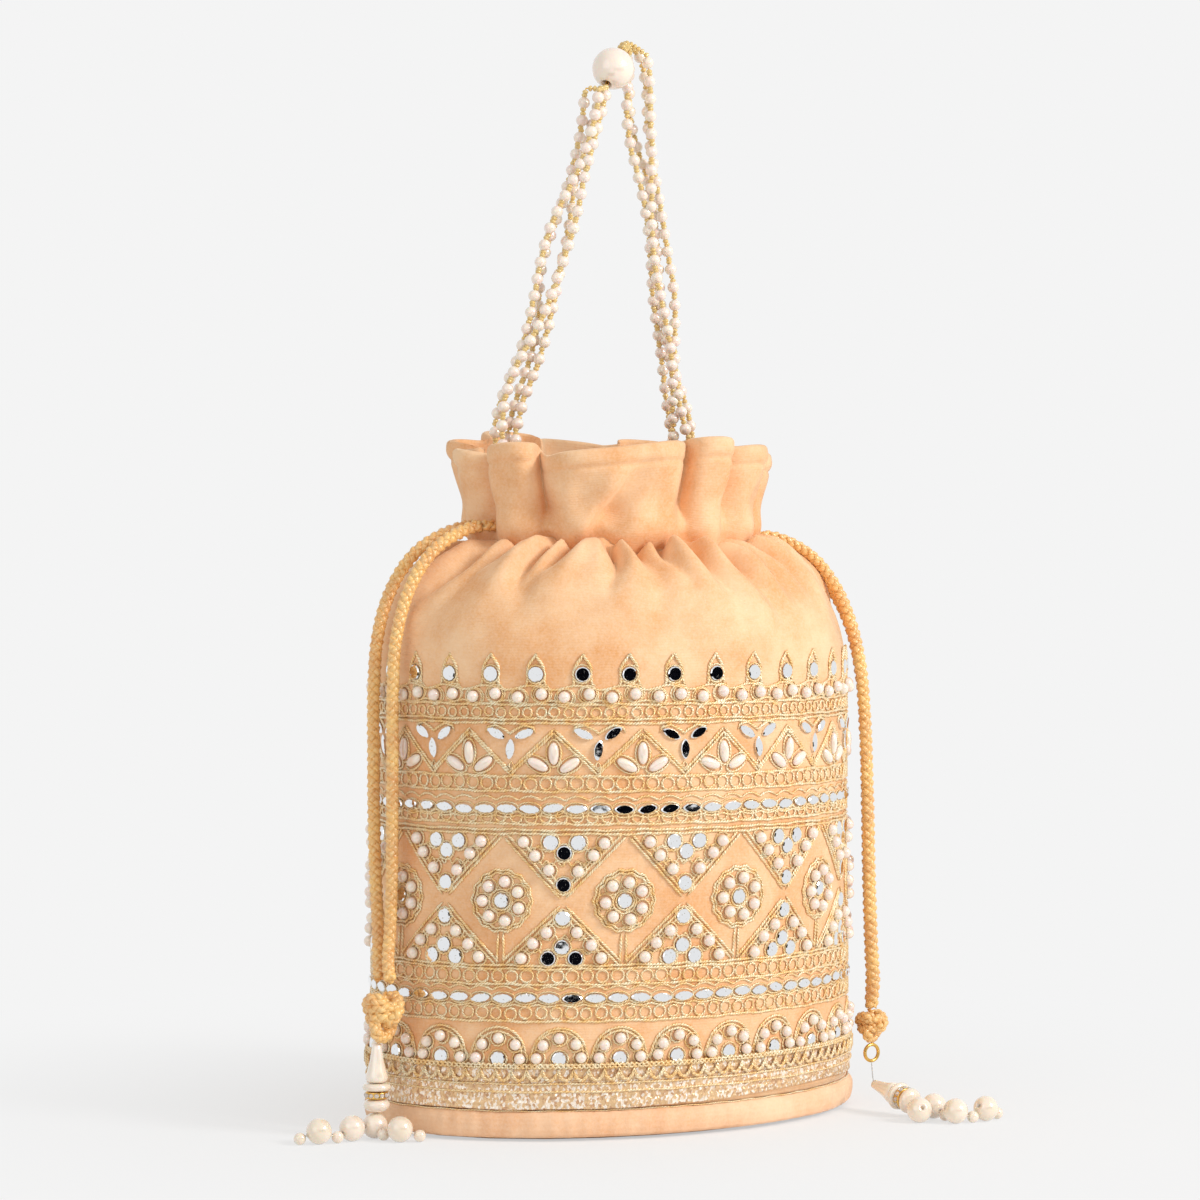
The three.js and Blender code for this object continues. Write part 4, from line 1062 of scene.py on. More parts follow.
# Bands round the whole bag: heights of plain couched lines, rings of looped thread as height, reach and
# count, and scallops as height, rise, count and way, 1 for up and -1 for down
bands = {
    "lines": [131.2, 132.5, 114.2, 109.4, 98.9, 97.0, 95.7, 53.3, 52.2, 47.2, 35.3, 137.2],
    "chains": [(134.7, 1.6, 110), (111.9, 2.0, 98), (101.2, 1.9, 98), (49.8, 2.0, 98), (38.0, 1.9, 98)],
    "scallops": [(106.1, 1.7, 64, 1), (101.9, 0.9, 64, -1), (45.0, 1.6, 64, 1), (41.0, 0.9, 64, -1)],
}


def makeBands():
    share = sharesRound(430)
    for height in bands["lines"]:
        wobble = 0.16 * np.sin(23 * fullTurn * share + height) + 0.1 * np.sin(57 * fullTurn * share)
        layRound(zariLines, share, height + wobble, radius=0.46)
    for height, size, count in bands["chains"]:
        at = places(count)
        for k in range(3):
            uneven = size * (1 + 0.06 * (k - 1))
            layRing(zariLoops, at[k::3], height, uneven, 11, tall=1.06 - 0.05 * k, radius=0.38)
    for height, rise, count, way in bands["scallops"]:
        share = sharesRound(count * 8)
        arch = np.abs(np.sin(np.pi * count * (share - stitching["turn"])))
        layRound(zariMotifs, share, height + way * rise * arch**0.7, radius=0.36)


# Top row: mirrors under pointed arches of thread, whose halves cross at the tip, with a foot on each side
finials = {
    "count": 32,
    "shift": 0.375,
    "height": 146.9,
    "halves": [
        ([-3.1, -2.6, -1.7, -0.7, 0, 0.5], [0.6, 2.4, 4.0, 5.2, 6.4, 5.7]),
        ([3.1, 2.6, 1.7, 0.7, 0.1, -0.5], [0.6, 2.4, 4.0, 5.2, 6.6, 6.0]),
        ([-4.2, -3.2, -2.8, -3.3], [-3.6, -3.4, -2.2, -1.0]),
        ([4.2, 3.2, 2.8, 3.3], [-3.6, -3.4, -2.2, -1.0]),
    ],
}


def makeFinials():
    at = places(finials["count"], finials["shift"])
    sewMirrors(at, finials["height"])
    for u, v in finials["halves"]:
        layMotif(zariMotifs, at, finials["height"], u, v)


# Row of ringed pearls, every second one a little higher, between two waving threads
pearlRow = {
    "count": 64,
    "height": 140.1,
    "stagger": 0.55,
    "ring": 3.3,
    "waves": ((142.6, 0.7), (137.9, -0.6)),  # height and rise of each
}


def makePearlRow():
    count = pearlRow["count"]
    at = places(count)
    for k, stagger in enumerate((-pearlRow["stagger"], pearlRow["stagger"])):
        level = pearlRow["height"] + stagger
        sewPearls(at[k::2], level)
        layRing(zariLoops, at[k::2], level, pearlRow["ring"], tall=0.88, radius=0.34, lift=0.2)
    share = sharesRound(count * 10)
    for height, rise in pearlRow["waves"]:
        wave = rise * np.sin(count * np.pi * (share - stitching["turn"]))
        layRound(zariMotifs, share, height + wave, radius=0.4)


# Zigzag of double thread, three leaf mirrors in each valley and three rice pearls under each peak. Leaves and
# rice pearls are given as turn in degrees, place aside and height
zigzag = {
    "count": 17,
    "height": 122.4,
    "top": 7.6,
    "depth": 14.6,
    "drops": (0, 1.25),
    "leaves": ((152, -4.7, 127.8), (28, 4.7, 127.8), (90, 0, 122.6)),
    "rices": ((90, 0, 121.6), (150, -5.1, 118.0), (30, 5.1, 118.0)),
    "riceRing": (4.4, 2.4),
    "leafFoot": (122.6, [0.2, -0.9, 0, 0.9, -0.2], [-3.6, -5.0, -6.2, -5.0, -3.6]),
    "leafCrown": (127.8, [-8.4, -7.6, -4.6, -1.4, 0, 1.4, 4.6, 7.6, 8.4],
                  [0.4, 2.2, 2.9, 1.3, 0.2, 1.3, 2.9, 2.2, 0.4]),
    "peakTip": (121.6, [0, -0.8, 0, 0.8, 0], [4.4, 5.3, 6.4, 5.3, 4.5]),
}


def makeZigzag():
    valleys, peaks = places(zigzag["count"]), places(zigzag["count"], 0.5)
    halfPitch = bag["wallGirth"] / zigzag["count"] / 2
    u = np.concatenate([np.linspace(-halfPitch, 0, 18), np.linspace(0, halfPitch, 18)[1:]])
    v = zigzag["top"] - zigzag["depth"] * (1 - np.abs(u) / halfPitch) + 0.5 * np.cos(u * np.pi / halfPitch)
    for drop in zigzag["drops"]:
        layMotif(zariMotifs, valleys, zigzag["height"], u, v - drop, radius=0.46)
    for turn, aside, high in zigzag["leaves"]:
        sewLeaves(leavesAt, valleys, high, turn, u=aside)
    layMotif(zariMotifs, valleys, *zigzag["leafFoot"])
    layMotif(zariMotifs, valleys, *zigzag["leafCrown"])
    for turn, aside, high in zigzag["rices"]:
        sewLeaves(ricesAt, peaks, high, turn, u=aside)
    angle = anglesRound(18)
    x, y = zigzag["riceRing"][0] * np.cos(angle), zigzag["riceRing"][1] * np.sin(angle)
    for turn, aside, high in zigzag["rices"]:
        c, s = np.cos(np.radians(turn)), np.sin(np.radians(turn))
        layMotif(zariMotifs, peaks, high, aside + c * x - s * y, s * x + c * y, closed=True, radius=0.36)
    layMotif(zariMotifs, peaks, *zigzag["peakTip"])


# Two rows of leaf mirrors end to end, each in its ring of thread
leafRows = {"count": 64, "heights": (103.8, 42.8), "ring": (3.9, 2.0)}


def makeLeafRows():
    at = places(leafRows["count"], 0.5)
    angle = anglesRound(12)
    u, v = leafRows["ring"][0] * np.cos(angle), leafRows["ring"][1] * np.sin(angle)
    for height in leafRows["heights"]:
        sewLeaves(leavesAt, at, height, 0)
        layMotif(zariMotifs, at, height, u, v, closed=True, radius=0.32, lift=0.2)


# Triangles of pearls and mirrors that point up and down between the rosettes. Each has its way, 1 for up and
# -1 for down, its tip, its far side and the heights of its four rows
triangles = {
    "count": 12,
    "each": (
        (-1, 75.6, 95.2, (93.0, 88.8, 84.0, 79.4)),
        (1, 72.2, 53.8, (55.7, 60.2, 64.1, 68.6)),
    ),
    "outerHalf": 19.0,
    "innerHalf": 15.2,
    "fillHalf": 12.5,
}


def makeTriangles():
    at = places(triangles["count"], 0.5)
    for way, tip, far, rows in triangles["each"]:
        middle = (tip + far) / 2
        for side in (-1, 1):
            u, v = straight((0.4 * side, tip - middle), (triangles["outerHalf"] * side, far - middle))
            doubleLine(zariMotifs, at, middle, u, v, gap=1.3, radius=0.44)
            inner = (triangles["innerHalf"] * side, far - middle + way * 0.4)
            u, v = straight((0.4 * side, tip - middle + way * -2.8), inner)
            layMotif(zariMotifs, at, middle, u, v, radius=0.34)
        for aside in (-4.4, 4.4):
            sewMirrors(at, rows[0], u=aside)
        for aside in (-12.7, 12.7):
            sewPearls(at, rows[0], u=aside)
        for aside in (-9.2, 9.2):
            sewPearls(at, rows[1], u=aside)
        sewMirrors(at, rows[1] - way * 0.9)
        for aside in (-4.7, 4.7):
            sewPearls(at, rows[2], u=aside)
        sewMirrors(at, rows[3])
        # Wavy filling threads between the rows
        fill = np.linspace(-triangles["fillHalf"], triangles["fillHalf"], 42)
        layMotif(zariMotifs, at, (rows[0] + rows[1]) / 2, fill, 0.9 * np.sin(fill * 1.35), radius=0.32)
        fill = fill * 0.58
        layMotif(zariMotifs, at, (rows[1] + rows[2]) / 2, fill, 0.9 * np.sin(fill * 1.9), radius=0.32)


# Rosettes: a mirror, a ring of pearls, two rippled rings of thread and a stem of two threads
rosettes = {
    "count": 12,
    "height": 74.1,
    "pearls": 7,
    "pearlRing": (6.3, 6.2),
    "rims": (8.9, 9.9),
    "ripple": 0.35,
    "heart": 3.9,
    "stem": (0.75, -10.2, -20.2),
}


def makeRosettes():
    at, height = places(rosettes["count"]), rosettes["height"]
    sewMirrors(at, height)
    wide, tall = rosettes["pearlRing"]
    for angle in anglesRound(rosettes["pearls"]) + 0.5:
        sewPearls(at, height, u=wide * np.cos(angle), v=tall * np.sin(angle))
    angle = anglesRound(56)
    for radius in rosettes["rims"]:
        rim = radius + rosettes["ripple"] * np.cos(14 * angle)
        layMotif(zariMotifs, at, height, rim * np.cos(angle), rim * np.sin(angle), closed=True, radius=0.42)
    layRing(zariMotifs, at, height, rosettes["heart"], 16, radius=0.36)
    aside, top, foot = rosettes["stem"]
    for side in (-aside, aside):
        u, v = straight((side, top), (side * 1.5, foot))
        layMotif(zariMotifs, at, height, u, v)


# Arches over the lace: two arcs of thread, five pearls and a mirror under them
arches = {
    "count": 24,
    "foot": 21.2,
    "arcs": ((9.1, 12.0), (8.1, 10.9)),  # reach and rise
    "mirror": 1.9,
    "pearls": ((0, 8.7), (-5.3, 6.6), (5.3, 6.6), (-7.0, 2.3), (7.0, 2.3)),
    "pearlRadius": 1.85,
}


def makeArches():
    at, foot = places(arches["count"]), arches["foot"]
    angle = np.linspace(0.08, np.pi - 0.08, 26)
    for reach, rise in arches["arcs"]:
        layMotif(zariMotifs, at, foot, reach * np.cos(angle), rise * np.sin(angle) ** 0.8, radius=0.42)
    sewMirrors(at, foot + arches["mirror"])
    for aside, high in arches["pearls"]:
        sewPearls(at, foot, u=aside, v=high, radius=arches["pearlRadius"])


makeBands()
makeFinials()
makePearlRow()
makeZigzag()
makeLeafRows()
makeTriangles()
makeRosettes()
makeArches()


# Directions on the wall at sewn places: round the bag, up the wall and outwards
def wallFrames(share, height, lift=0.0):
    place, normal = onWall(share, height, lift)
    beside = unit(np.stack([-normal[..., 1], normal[..., 0], 0 * normal[..., 0]], -1))
    return place, beside, np.cross(normal, beside), normal


# Round pearls are balls cut off below, where they sink into the cloth: the sine and cosine of the angle from
# the top give each row's radius and height. Rice pearls are long ones turned on the wall, a little flattened
def makePearls():
    shape = newShape()
    sides = 12
    polar = np.linspace(1.9, 0.03, 7)[:, None, None]
    for share, height, radius in pearlsAt:
        place, beside, up, normal = wallFrames(share, height, 0.55 * radius)
        ring = circleOf(beside, up, sides)[:, None]
        ball = np.sin(polar) * ring + np.cos(polar) * normal[:, None, None]
        addGrid(shape, (place[:, None, None] + radius * ball)[:, ::-1])
    long, wide = stitching["rice"]
    steps = np.linspace(0.05, np.pi - 0.05, 9)[:, None, None]
    for share, height, turn in ricesAt:
        place, beside, up, normal = wallFrames(share, height, 0.7)
        axis = np.cos(turn)[:, None] * beside + np.sin(turn)[:, None] * up
        ring = circleOf(np.cross(normal, axis), 0.8 * normal, sides)[:, None]
        body = np.sin(steps) ** 0.85 * (wide / 2) * ring - np.cos(steps) * (long / 2) * axis[:, None, None]
        addGrid(shape, place[:, None, None] + body)
    putMesh("sewn_pearls", shape, finishes["pearl"])


# Mirrors are flat pieces with a ground edge, each at a slightly different tilt in its stitches. Outline is
# the rim's points on the wall, and edge is the share of it that the flat face has
def addMirrors(shape, place, beside, up, normal, outline, edge):
    tilt = dice.normal(0, stitching["mirrorTilt"], (len(place), 2))
    beside = unit(beside + tilt[:, :1] * normal)
    up = unit(up + tilt[:, 1:] * normal)
    normal = np.cross(beside, up)
    rings = []
    for size, depth in ((1.0, -0.5), (1.0, 0.55), (edge, 0.85)):
        flat = outline[:, :1] * size * beside[:, None] + outline[:, 1:] * size * up[:, None]
        rings.append(place[:, None] + flat + depth * normal[:, None])
    addGrid(shape, np.stack(rings, 1))


def makeMirrors():
    shape = newShape()
    angle = anglesRound(12)
    disc = stitching["mirrorRadius"] * np.stack([np.cos(angle), np.sin(angle)], -1)
    for share, height in mirrorsAt:
        addMirrors(shape, *wallFrames(share, height, 0.25), disc, 0.86)
    long, wide = stitching["leaf"]
    leaf = np.stack([long / 2 * np.cos(angle), wide / 2 * np.sin(angle) * np.abs(np.sin(angle)) ** 0.35], -1)
    for share, height, turn in leavesAt:
        place, beside, up, normal = wallFrames(share, height, 0.35)
        along = np.cos(turn)[:, None] * beside + np.sin(turn)[:, None] * up
        addMirrors(shape, place, along, np.cross(normal, along), normal, leaf, 0.84)
    putMesh("sewn_mirrors", shape, finishes["mirror"], smooth=False)


makePearls()
makeMirrors()
for name, shape in (("zari_lines", zariLines), ("zari_motifs", zariMotifs), ("zari_loops", zariLoops)):
    putMesh(name, shape, finishes["zari"])
print("embroidery made")

# Lace round the foot: a woven band with ribs, a row of square knots and bars, edged with looped scallops.
# Rows of the band are shares of its height, pitches are millimetres round the bag
lace = {
    "bottom": 6.9,
    "top": 20.6,
    "thickness": 1.3,
    "columns": 840,
    "rows": 30,
    "ridges": (0.02, 0.16, 0.43, 0.66, 0.97),
    "ribs": {"pitch": 1.1, "at": 0.09, "wide": 0.05, "high": 0.45},
    "knots": {"pitch": 3.3, "at": 0.31, "wide": 0.075, "high": 0.75},
    "bars": {"pitch": 1.5, "at": 0.55, "wide": 0.08, "high": 0.5},
    "waves": {"pitch": 4.9, "at": 0.8, "wide": 0.08, "high": 0.35},
    "scallops": 96,
    "scallopRows": ((0, 3.4), (1.3, 2.3)),  # drop and reach of each
    "cords": (12.6, 15.2),
    "lift": 2.4,
}


# Height of the lace's lower edge, which rides up a little over the front right of the hem
def laceEdge(share):
    return lace["bottom"] + lace["lift"] * bell(apart(share, 0.86, 1.0), 0, 0.1)


# Relief of the woven band at a level from 0 at its foot to 1 at its top: each row of the weave is a pattern
# round the bag times a bell curve of the level
def laceRelief(level, around):
    def wave(row, lead=0.0):
        return np.sin(around * fullTurn / lace[row]["pitch"] + lead)

    patterns = {
        "ribs": 0.5 + 0.5 * wave("ribs", 1.2),
        "knots": np.clip(1.6 * wave("knots"), 0, 1),
        "bars": 0.5 + 0.5 * wave("bars"),
        "waves": wave("waves") ** 2,
    }
    ridges = sum(bell(level, at, 0.022) for at in lace["ridges"])
    relief = 0.55 * ridges * (0.8 + 0.2 * np.sin(around * fullTurn / 0.9))
    for row, pattern in patterns.items():
        relief = relief + lace[row]["high"] * pattern * bell(level, lace[row]["at"], lace[row]["wide"])
    return relief


def makeLace():
    share = sharesRound(lace["columns"])
    around = share * bag["wallGirth"]
    low = laceEdge(share)
    levels = np.linspace(0, 1, lace["rows"])
    rows = []
    for level in levels:
        height = low + (lace["top"] - low) * level + 0.12 * np.sin(around * fullTurn / 37)
        rows.append(onWall(share, height, lace["thickness"] * 0.75 + laceRelief(level, around))[0])
    for level in (1.0, 0.0):
        rows.append(onWall(share, low + (lace["top"] - low) * level, 0.15)[0])
    shape = newShape()
    along = np.concatenate([levels, [1.05, 1.1]]) * 13.7
    addGrid(shape, np.array(rows), along, roundUv(lace["columns"], bag["wallGirth"]), closedRows=True)
    putMesh("lace_band", shape, finishes["lace"], replaces=("lace_trim",))
    loops = newShape()
    fine = sharesRound(lace["scallops"] * 12)
    phase = fine * fullTurn * lace["scallops"]
    for turn in (0, np.pi):
        layRound(loops, fine, 20.9 + 0.65 * np.sin(phase * 1.5 + turn), radius=0.42, lift=1.5)
    arc = np.abs(np.sin(phase / 2))
    for drop, reach in lace["scallopRows"]:
        layRound(loops, fine, 19.9 - drop - reach * arc**0.7, radius=0.4, lift=1.9)
    for height in lace["cords"]:
        layRound(loops, fine, height + 0.1 * np.sin(phase / 5), radius=0.34, lift=1.5)
    putMesh("lace_loops", loops, finishes["zari"])


# Piping of the hem: a velvet roll, a little uneven where it was turned and sewn, and its line of stitches.
# The section's points are an inset from the hem's oval and a height
piping = {
    "columns": 360,
    "section": [
        (3.8, 0.0), (2.0, -0.1), (1.7, -1.6), (0.7, -2.5), (-0.5, -2.3), (-1.35, -1.1), (-1.75, 0.8),
        (-1.85, 2.6), (-1.75, 4.0), (-1.4, 4.9), (-0.8, 5.8), (-0.2, 6.35), (0.6, 6.5), (3.8, 6.4),
    ],
    "puckers": (0.2, 0.25),
    "stitchOut": 0.62,
    "stitchHeight": 6.35,
    "stitchRadius": 0.3,
}


def makePiping():
    share = sharesRound(piping["columns"])
    pucker = piping["puckers"][0] * np.sin(83 * fullTurn * share + 2 * np.sin(9 * fullTurn * share))
    pucker = pucker + piping["puckers"][1] * np.sin(13 * fullTurn * share)
    place, outward = ovalPoint(*bag["hem"], share)
    rows = []
    for inset, height in piping["section"]:
        free = np.clip((1.6 - inset) / 3, 0, 1)
        out = place + outward * (-inset + free * pucker)[:, None]
        rows.append(np.column_stack([out, np.full(len(share), height)]))
    shape = newShape()
    addGrid(shape, np.array(rows), None, roundUv(piping["columns"], bag["wallGirth"]), closedRows=True)
    putMesh("hem_roll", shape, finishes["hemVelvet"], replaces=("hem_piping",))
    stitches = newShape()
    fine = sharesRound(620)
    line = levelRing(bag["hem"], fine, piping["stitchHeight"], -piping["stitchOut"])
    line[:, 2] += 0.1 * np.sin(fine * 40 * fullTurn)
    seam = tubeRings(line, piping["stitchRadius"], 4, closed=True)
    addGrid(stitches, seam, lengthAlong(line), closedRows=True)
    putMesh("hem_stitch", stitches, finishes["zari"])


# Lining: a satin bag, floor and wall in one, with slack folds. It is a thin closed shell, whose floor is
# closed at a small ring in its middle. The wall goes evenly from its foot's oval to its waist's
lining = {
    "floorInset": 5.7,
    "floor": 4.1,
    "floorEdge": 7.2,
    "foot": (81.3, 55.3, 7),
    "waist": (80.7, 67.7, 98.4),
    "topInset": (2.3, 4.0),  # under the shoulder, and what is added up to the neck
    "topRise": 34.8,
    "thickness": 0.7,
    "columns": 150,
    "girth": 470,
    "folds": 14,
    "slack": (0.9, 1.5),  # of the wall, and what is added up to the neck
}


# Half lengths, half widths and heights of the lining's rings from the floor's edge up. The floor's own edge
# comes first, marked by a height below 0
def liningLevels():
    edge = [size - lining["floorInset"] for size in bag["hem"]]
    levels = [(*edge, -0.05), (*edge, lining["floorEdge"])]
    low, high = lining["foot"], lining["waist"]
    for height in np.linspace(14, bag["shoulderStart"], 26):
        mix = min((height - low[2]) / (high[2] - low[2]), 1)
        levels.append((low[0] + (high[0] - low[0]) * mix, low[1] + (high[1] - low[1]) * mix, height))
    for turn in np.linspace(0.1, 1, 14):
        reach, climb = np.cos(turn * np.pi / 2), np.sin(turn * np.pi / 2)
        inset = lining["topInset"][0] + lining["topInset"][1] * turn
        half = [near + (far - near) * reach - inset for near, far in zip(bag["neck"], bag["waist"])]
        levels.append((*half, bag["shoulderStart"] + lining["topRise"] * climb))
    return levels


def makeLining():
    share = sharesRound(lining["columns"])
    thick = lining["thickness"]
    outer, inner = [], []
    for halfLength, halfWidth, height in liningLevels():
        place, outward = ovalPoint(halfLength, halfWidth, share)
        free = lining["slack"][0] * np.clip(height / 60, 0, 1)
        free = free + lining["slack"][1] * np.clip((height - 150) / 34, 0, 1)
        turn = lining["folds"] * fullTurn * share + height / 40 + 1.3 * np.sin(3 * fullTurn * share)
        fold = free * (0.5 + 0.5 * np.sin(turn))
        outerLevel, innerLevel = height, height
        if height < 0:
            outerLevel, innerLevel = lining["floor"], lining["floor"] + thick
        for rings, level, depth in ((outer, outerLevel, fold), (inner, innerLevel, fold + thick)):
            rings.append(np.column_stack([place - outward * depth[:, None], np.full(len(share), level)]))
    rings = np.array(outer + inner[::-1])
    middles = rings[[0, -1]] * [0.01, 0.01, 1]
    rings = np.concatenate([middles[:1], rings, middles[1:]])
    shape = newShape()
    addGrid(shape, rings, lengthAlong(rings[:, 0]), roundUv(lining["columns"], lining["girth"]))
    piece = putMesh("lining", shape, finishes["satin"], replaces=("lining_bag",))


# Tape inside the neck, gathered with the velvet into small ripples. The section's points are an inset from
# the neck's oval and a height
tape = {
    "columns": 180,
    "girth": 250,
    "section": [
        (11.3, 185.9), (11.3, 191.5), (11.3, 196.7), (7.1, 198.2), (7.1, 199.4), (12.5, 199.4), (12.5, 191.5),
        (12.5, 185.9),
    ],
    "ripples": 52,
    "rippleDepth": 0.3,
}


def makeTape():
    share = sharesRound(tape["columns"])
    ripple = tape["rippleDepth"] * (1 + np.sin(tape["ripples"] * fullTurn * share))
    rows = []
    for inset, height in tape["section"]:
        place, outward = ovalPoint(bag["neck"][0] - inset, bag["neck"][1] - inset, share)
        rows.append(np.column_stack([place - outward * ripple[:, None], np.full(len(share), height)]))
    shape = newShape()
    addGrid(shape, np.array(rows), None, roundUv(tape["columns"], tape["girth"]), closedRows=True)
    piece = putMesh("tape", shape, finishes["satin"], replaces=("casing_tape",))


makeLace()
makePiping()
makeLining()
makeTape()
print("lace, hem, lining and tape made")


# The cords' hidden stretches round the neck, the same line as the CAD cords have: in at one end of the bag,
# once round inside the neck and out beside where it came in. The two cords lie one above the other
casing = {
    "level": 191.6,
    "levelApart": 2.8,
    "inset": 7.6,
    "exit": 53,
    "wayIn": ((3.6, 3.3), (-0.6, 5.1), (-2.4, 9.3)),  # beyond the inset oval's end, and across
    "size": 0.97,
}


def casingLine(side):
    level = casing["level"] - side * casing["levelApart"]
    half = [size - casing["inset"] for size in bag["neck"]]
    place, _ = ovalPoint(*half, np.linspace(0.06, 0.94, 13))
    bend = [(side * x, side * y, level) for x, y in place]
    inward = [(side * casing["exit"], side * casing["wayIn"][0][1], level)]
    inward += [(side * (half[0] + beyond), side * across, level) for beyond, across in casing["wayIn"]]
    outward = [(x, -y, z) for x, y, z in inward[::-1]]
    return smoothLine(inward + bend + outward, 240)


for side, name in ((-1, "drawcord_left_casing"), (1, "drawcord_right_casing")):
    stretch = newShape()
    braidRings(stretch, casingLine(side), size=casing["size"], sides=4)
    putMesh(name + "_braid", stretch, finishes["silk"], replaces=(name,))


# Knots: each is a closed overhand knot of the same braid, under a short wrap of cord. Its width is the sine
# of the turn plus twice the sine of two turns, its height the cosine less twice the cosine of two turns, and
# its depth minus the sine of three turns, each squeezed to the knot's own size
knots = {
    "left": {"middle": (-95.8, -13.8, 36.7), "half": (5.0, 7.0, 4.0), "size": 0.98},
    "right": {"middle": (87.9, -28.2, 22.4), "half": (3.9, 4.2, 3.4), "size": 0.84},
    "across": (0.848, -0.530),  # level, across the photograph's view, to which both are laid flat
    "wrapTurns": 2.2,
    "wrapRadius": 4.1,
    "wrapHalf": 3.4,
}


def makeKnot(side):
    knot = knots[side]
    t = anglesRound(150)
    wide, tall, deep = knot["half"]
    flat = (np.sin(t) + 2 * np.sin(2 * t)) / 2.75 * wide
    high = (np.cos(t) - 2 * np.cos(2 * t)) / 2.8 * tall
    near = -np.sin(3 * t) * deep
    right = np.array(knots["across"])
    forward = np.array([-right[1], right[0]])
    place = flat[:, None] * right + near[:, None] * forward
    line = np.column_stack([place, high]) + knot["middle"]
    shape = newShape()
    braidRings(shape, line, size=knot["size"], closed=True)
    # The wrap is a short helix round the knot
    s = np.linspace(0, knots["wrapTurns"] * fullTurn, 90)
    rise = 0.1 * tall + knots["wrapHalf"] * (s / s[-1] - 0.5) * 2
    coil = np.stack([knots["wrapRadius"] * np.cos(s), knots["wrapRadius"] * np.sin(s), rise], -1)
    braidRings(shape, coil * [wide / 5.0, wide / 5.0, 0.9] + knot["middle"], size=knot["size"] * 0.95)
    node = "knot_" + side
    return putMesh(node + "_braid", shape, finishes["silk"], replaces=(node,))


# Tassel heads: beads stacked from the tip along one axis, each a profile of [radius, distance from the tip]
tassel = {
    "left": {"tip": (-97.6, -12.7, 27.05), "axis": (0, 0, -1)},
    "right": {"tip": (74.2, -48.7, 5.4), "axis": (0.04, -0.985, -0.17)},
    "cone": [(0.05, 0.0), (1.1, 0.0), (1.5, 0.3), (1.7, 2.0), (2.2, 5.0), (2.95, 8.2), (3.6, 10.3),
             (3.65, 11.3), (3.2, 12.1), (2.4, 12.4), (0.05, 12.4)],
    "collar": [(0.05, 12.7), (3.4, 12.7), (4.3, 13.0), (4.7, 13.9), (4.3, 14.8), (3.4, 15.1), (0.05, 15.1)],
    "spacer": [(0.05, 15.4), (3.4, 15.4), (3.7, 15.6), (3.5, 16.0), (3.5, 17.0), (3.7, 17.4), (3.4, 17.6),
               (0.05, 17.6)],
    "cap": [(0.05, 17.9), (2.6, 17.9), (3.7, 18.3), (4.35, 19.4), (4.2, 20.4), (3.3, 21.4), (2.0, 21.9),
            (0.05, 21.9)],
    "sides": 32,
    "stones": 12,
    "stoneRadius": 0.85,
    "stoneRing": (3.55, 16.5),  # radius, and distance from the tip
    "stringRadius": 0.3,
}


def makeTasselHead(side):
    head = tassel[side]
    axis = unit(np.array(head["axis"], float))
    pieces = []
    for part, node, finish, slot in (
        ("cone", "cone_bead_", "cone", "pearl"), ("collar", "collar_bead_", "tasselPearl", "pearl"),
        ("spacer", "rondelle_", "gilt", "gold_metal"), ("cap", "cap_bead_", "tasselPearl", "pearl"),
    ):
        shape = newShape()
        addGrid(shape, turnedRings(tassel[part], head["tip"], axis, tassel["sides"]))
        pieces.append(putMesh(part + "_" + side, shape, finishes[finish], replaces=(node + side,)))
    stones = newShape()
    ring = turnedRings([tassel["stoneRing"]], head["tip"], axis, tassel["stones"])[0]
    middle = np.asarray(head["tip"]) + tassel["stoneRing"][1] * axis
    addGrid(stones, ballRings(ring, ring - middle, tassel["stoneRadius"], 5, 6, 0.8))
    pieces.append(putMesh("stones_" + side, stones, finishes["crystal"], smooth=False))
    return pieces


# Strings of tassel pearls: beads at their way from the tip along X, place across and radius, on the floor
pearlStrings = {
    "tassel_pearls_left_1": ("left", [
        (-0.5, -12.4, 4.2), (-9.4, -13.4, 4.2), (-15.4, -14.7, 2.0), (-21.4, -13.3, 4.2), (-27.3, -11.4, 2.0),
    ]),
    "tassel_pearls_left_2": ("left", [(-0.3, -17.7, 2.0), (2.7, -23.4, 4.2), (8.3, -26.3, 2.0)]),
    "tassel_pearls_right_1": ("right", [(-1, -72.6, 2.0), (-3, -78.5, 4.2)]),
    "tassel_pearls_right_2": ("right", [
        (6.7, -73.6, 4.2), (6.5, -80, 2.0), (6, -86.5, 4.2), (12, -88, 2.0), (18, -87.2, 4.2),
        (24, -85.6, 2.0),
    ]),
}


# Each bead is a ball a little squarer than round, the sine and cosine of the angle from its pole, with a bore
# along the string
def makePearlString(name, side, beads):
    shape = newShape()
    middles = np.array([(tassel[side]["tip"][0] + x, y, radius - hemLift) for x, y, radius in beads])
    radii = np.array([radius for _, _, radius in beads])
    steps = np.diff(middles, axis=0)
    axes = np.vstack([steps, steps[-1:]])
    for middle, axis, radius in zip(middles, unit(axes), radii):
        bore = 0.16 * radius
        angle = np.linspace(0.16, np.pi - 0.16, 15)
        plump = np.stack([radius * np.sin(angle) ** 0.94, -radius * 0.98 * np.cos(angle)], -1)
        profile = np.vstack([[[bore, -0.6 * radius]], plump, [[bore, 0.6 * radius]]])
        addGrid(shape, turnedRings(profile, middle, axis, 24))
    line = np.vstack([middles[0], middles])
    line[0] += (middles[0] - middles[1]) * 0.3
    smooth = smoothLine(line, 40)
    addGrid(shape, tubeRings(smooth, tassel["stringRadius"], 6), lengthAlong(smooth))
    putMesh(name + "_beads", shape, finishes["tasselPearl"], replaces=(name,))


knotPieces = {side: makeKnot(side) for side in ("left", "right")}
headPieces = {side: makeTasselHead(side) for side in ("left", "right")}
for name, (side, beads) in pearlStrings.items():
    makePearlString(name, side, beads)


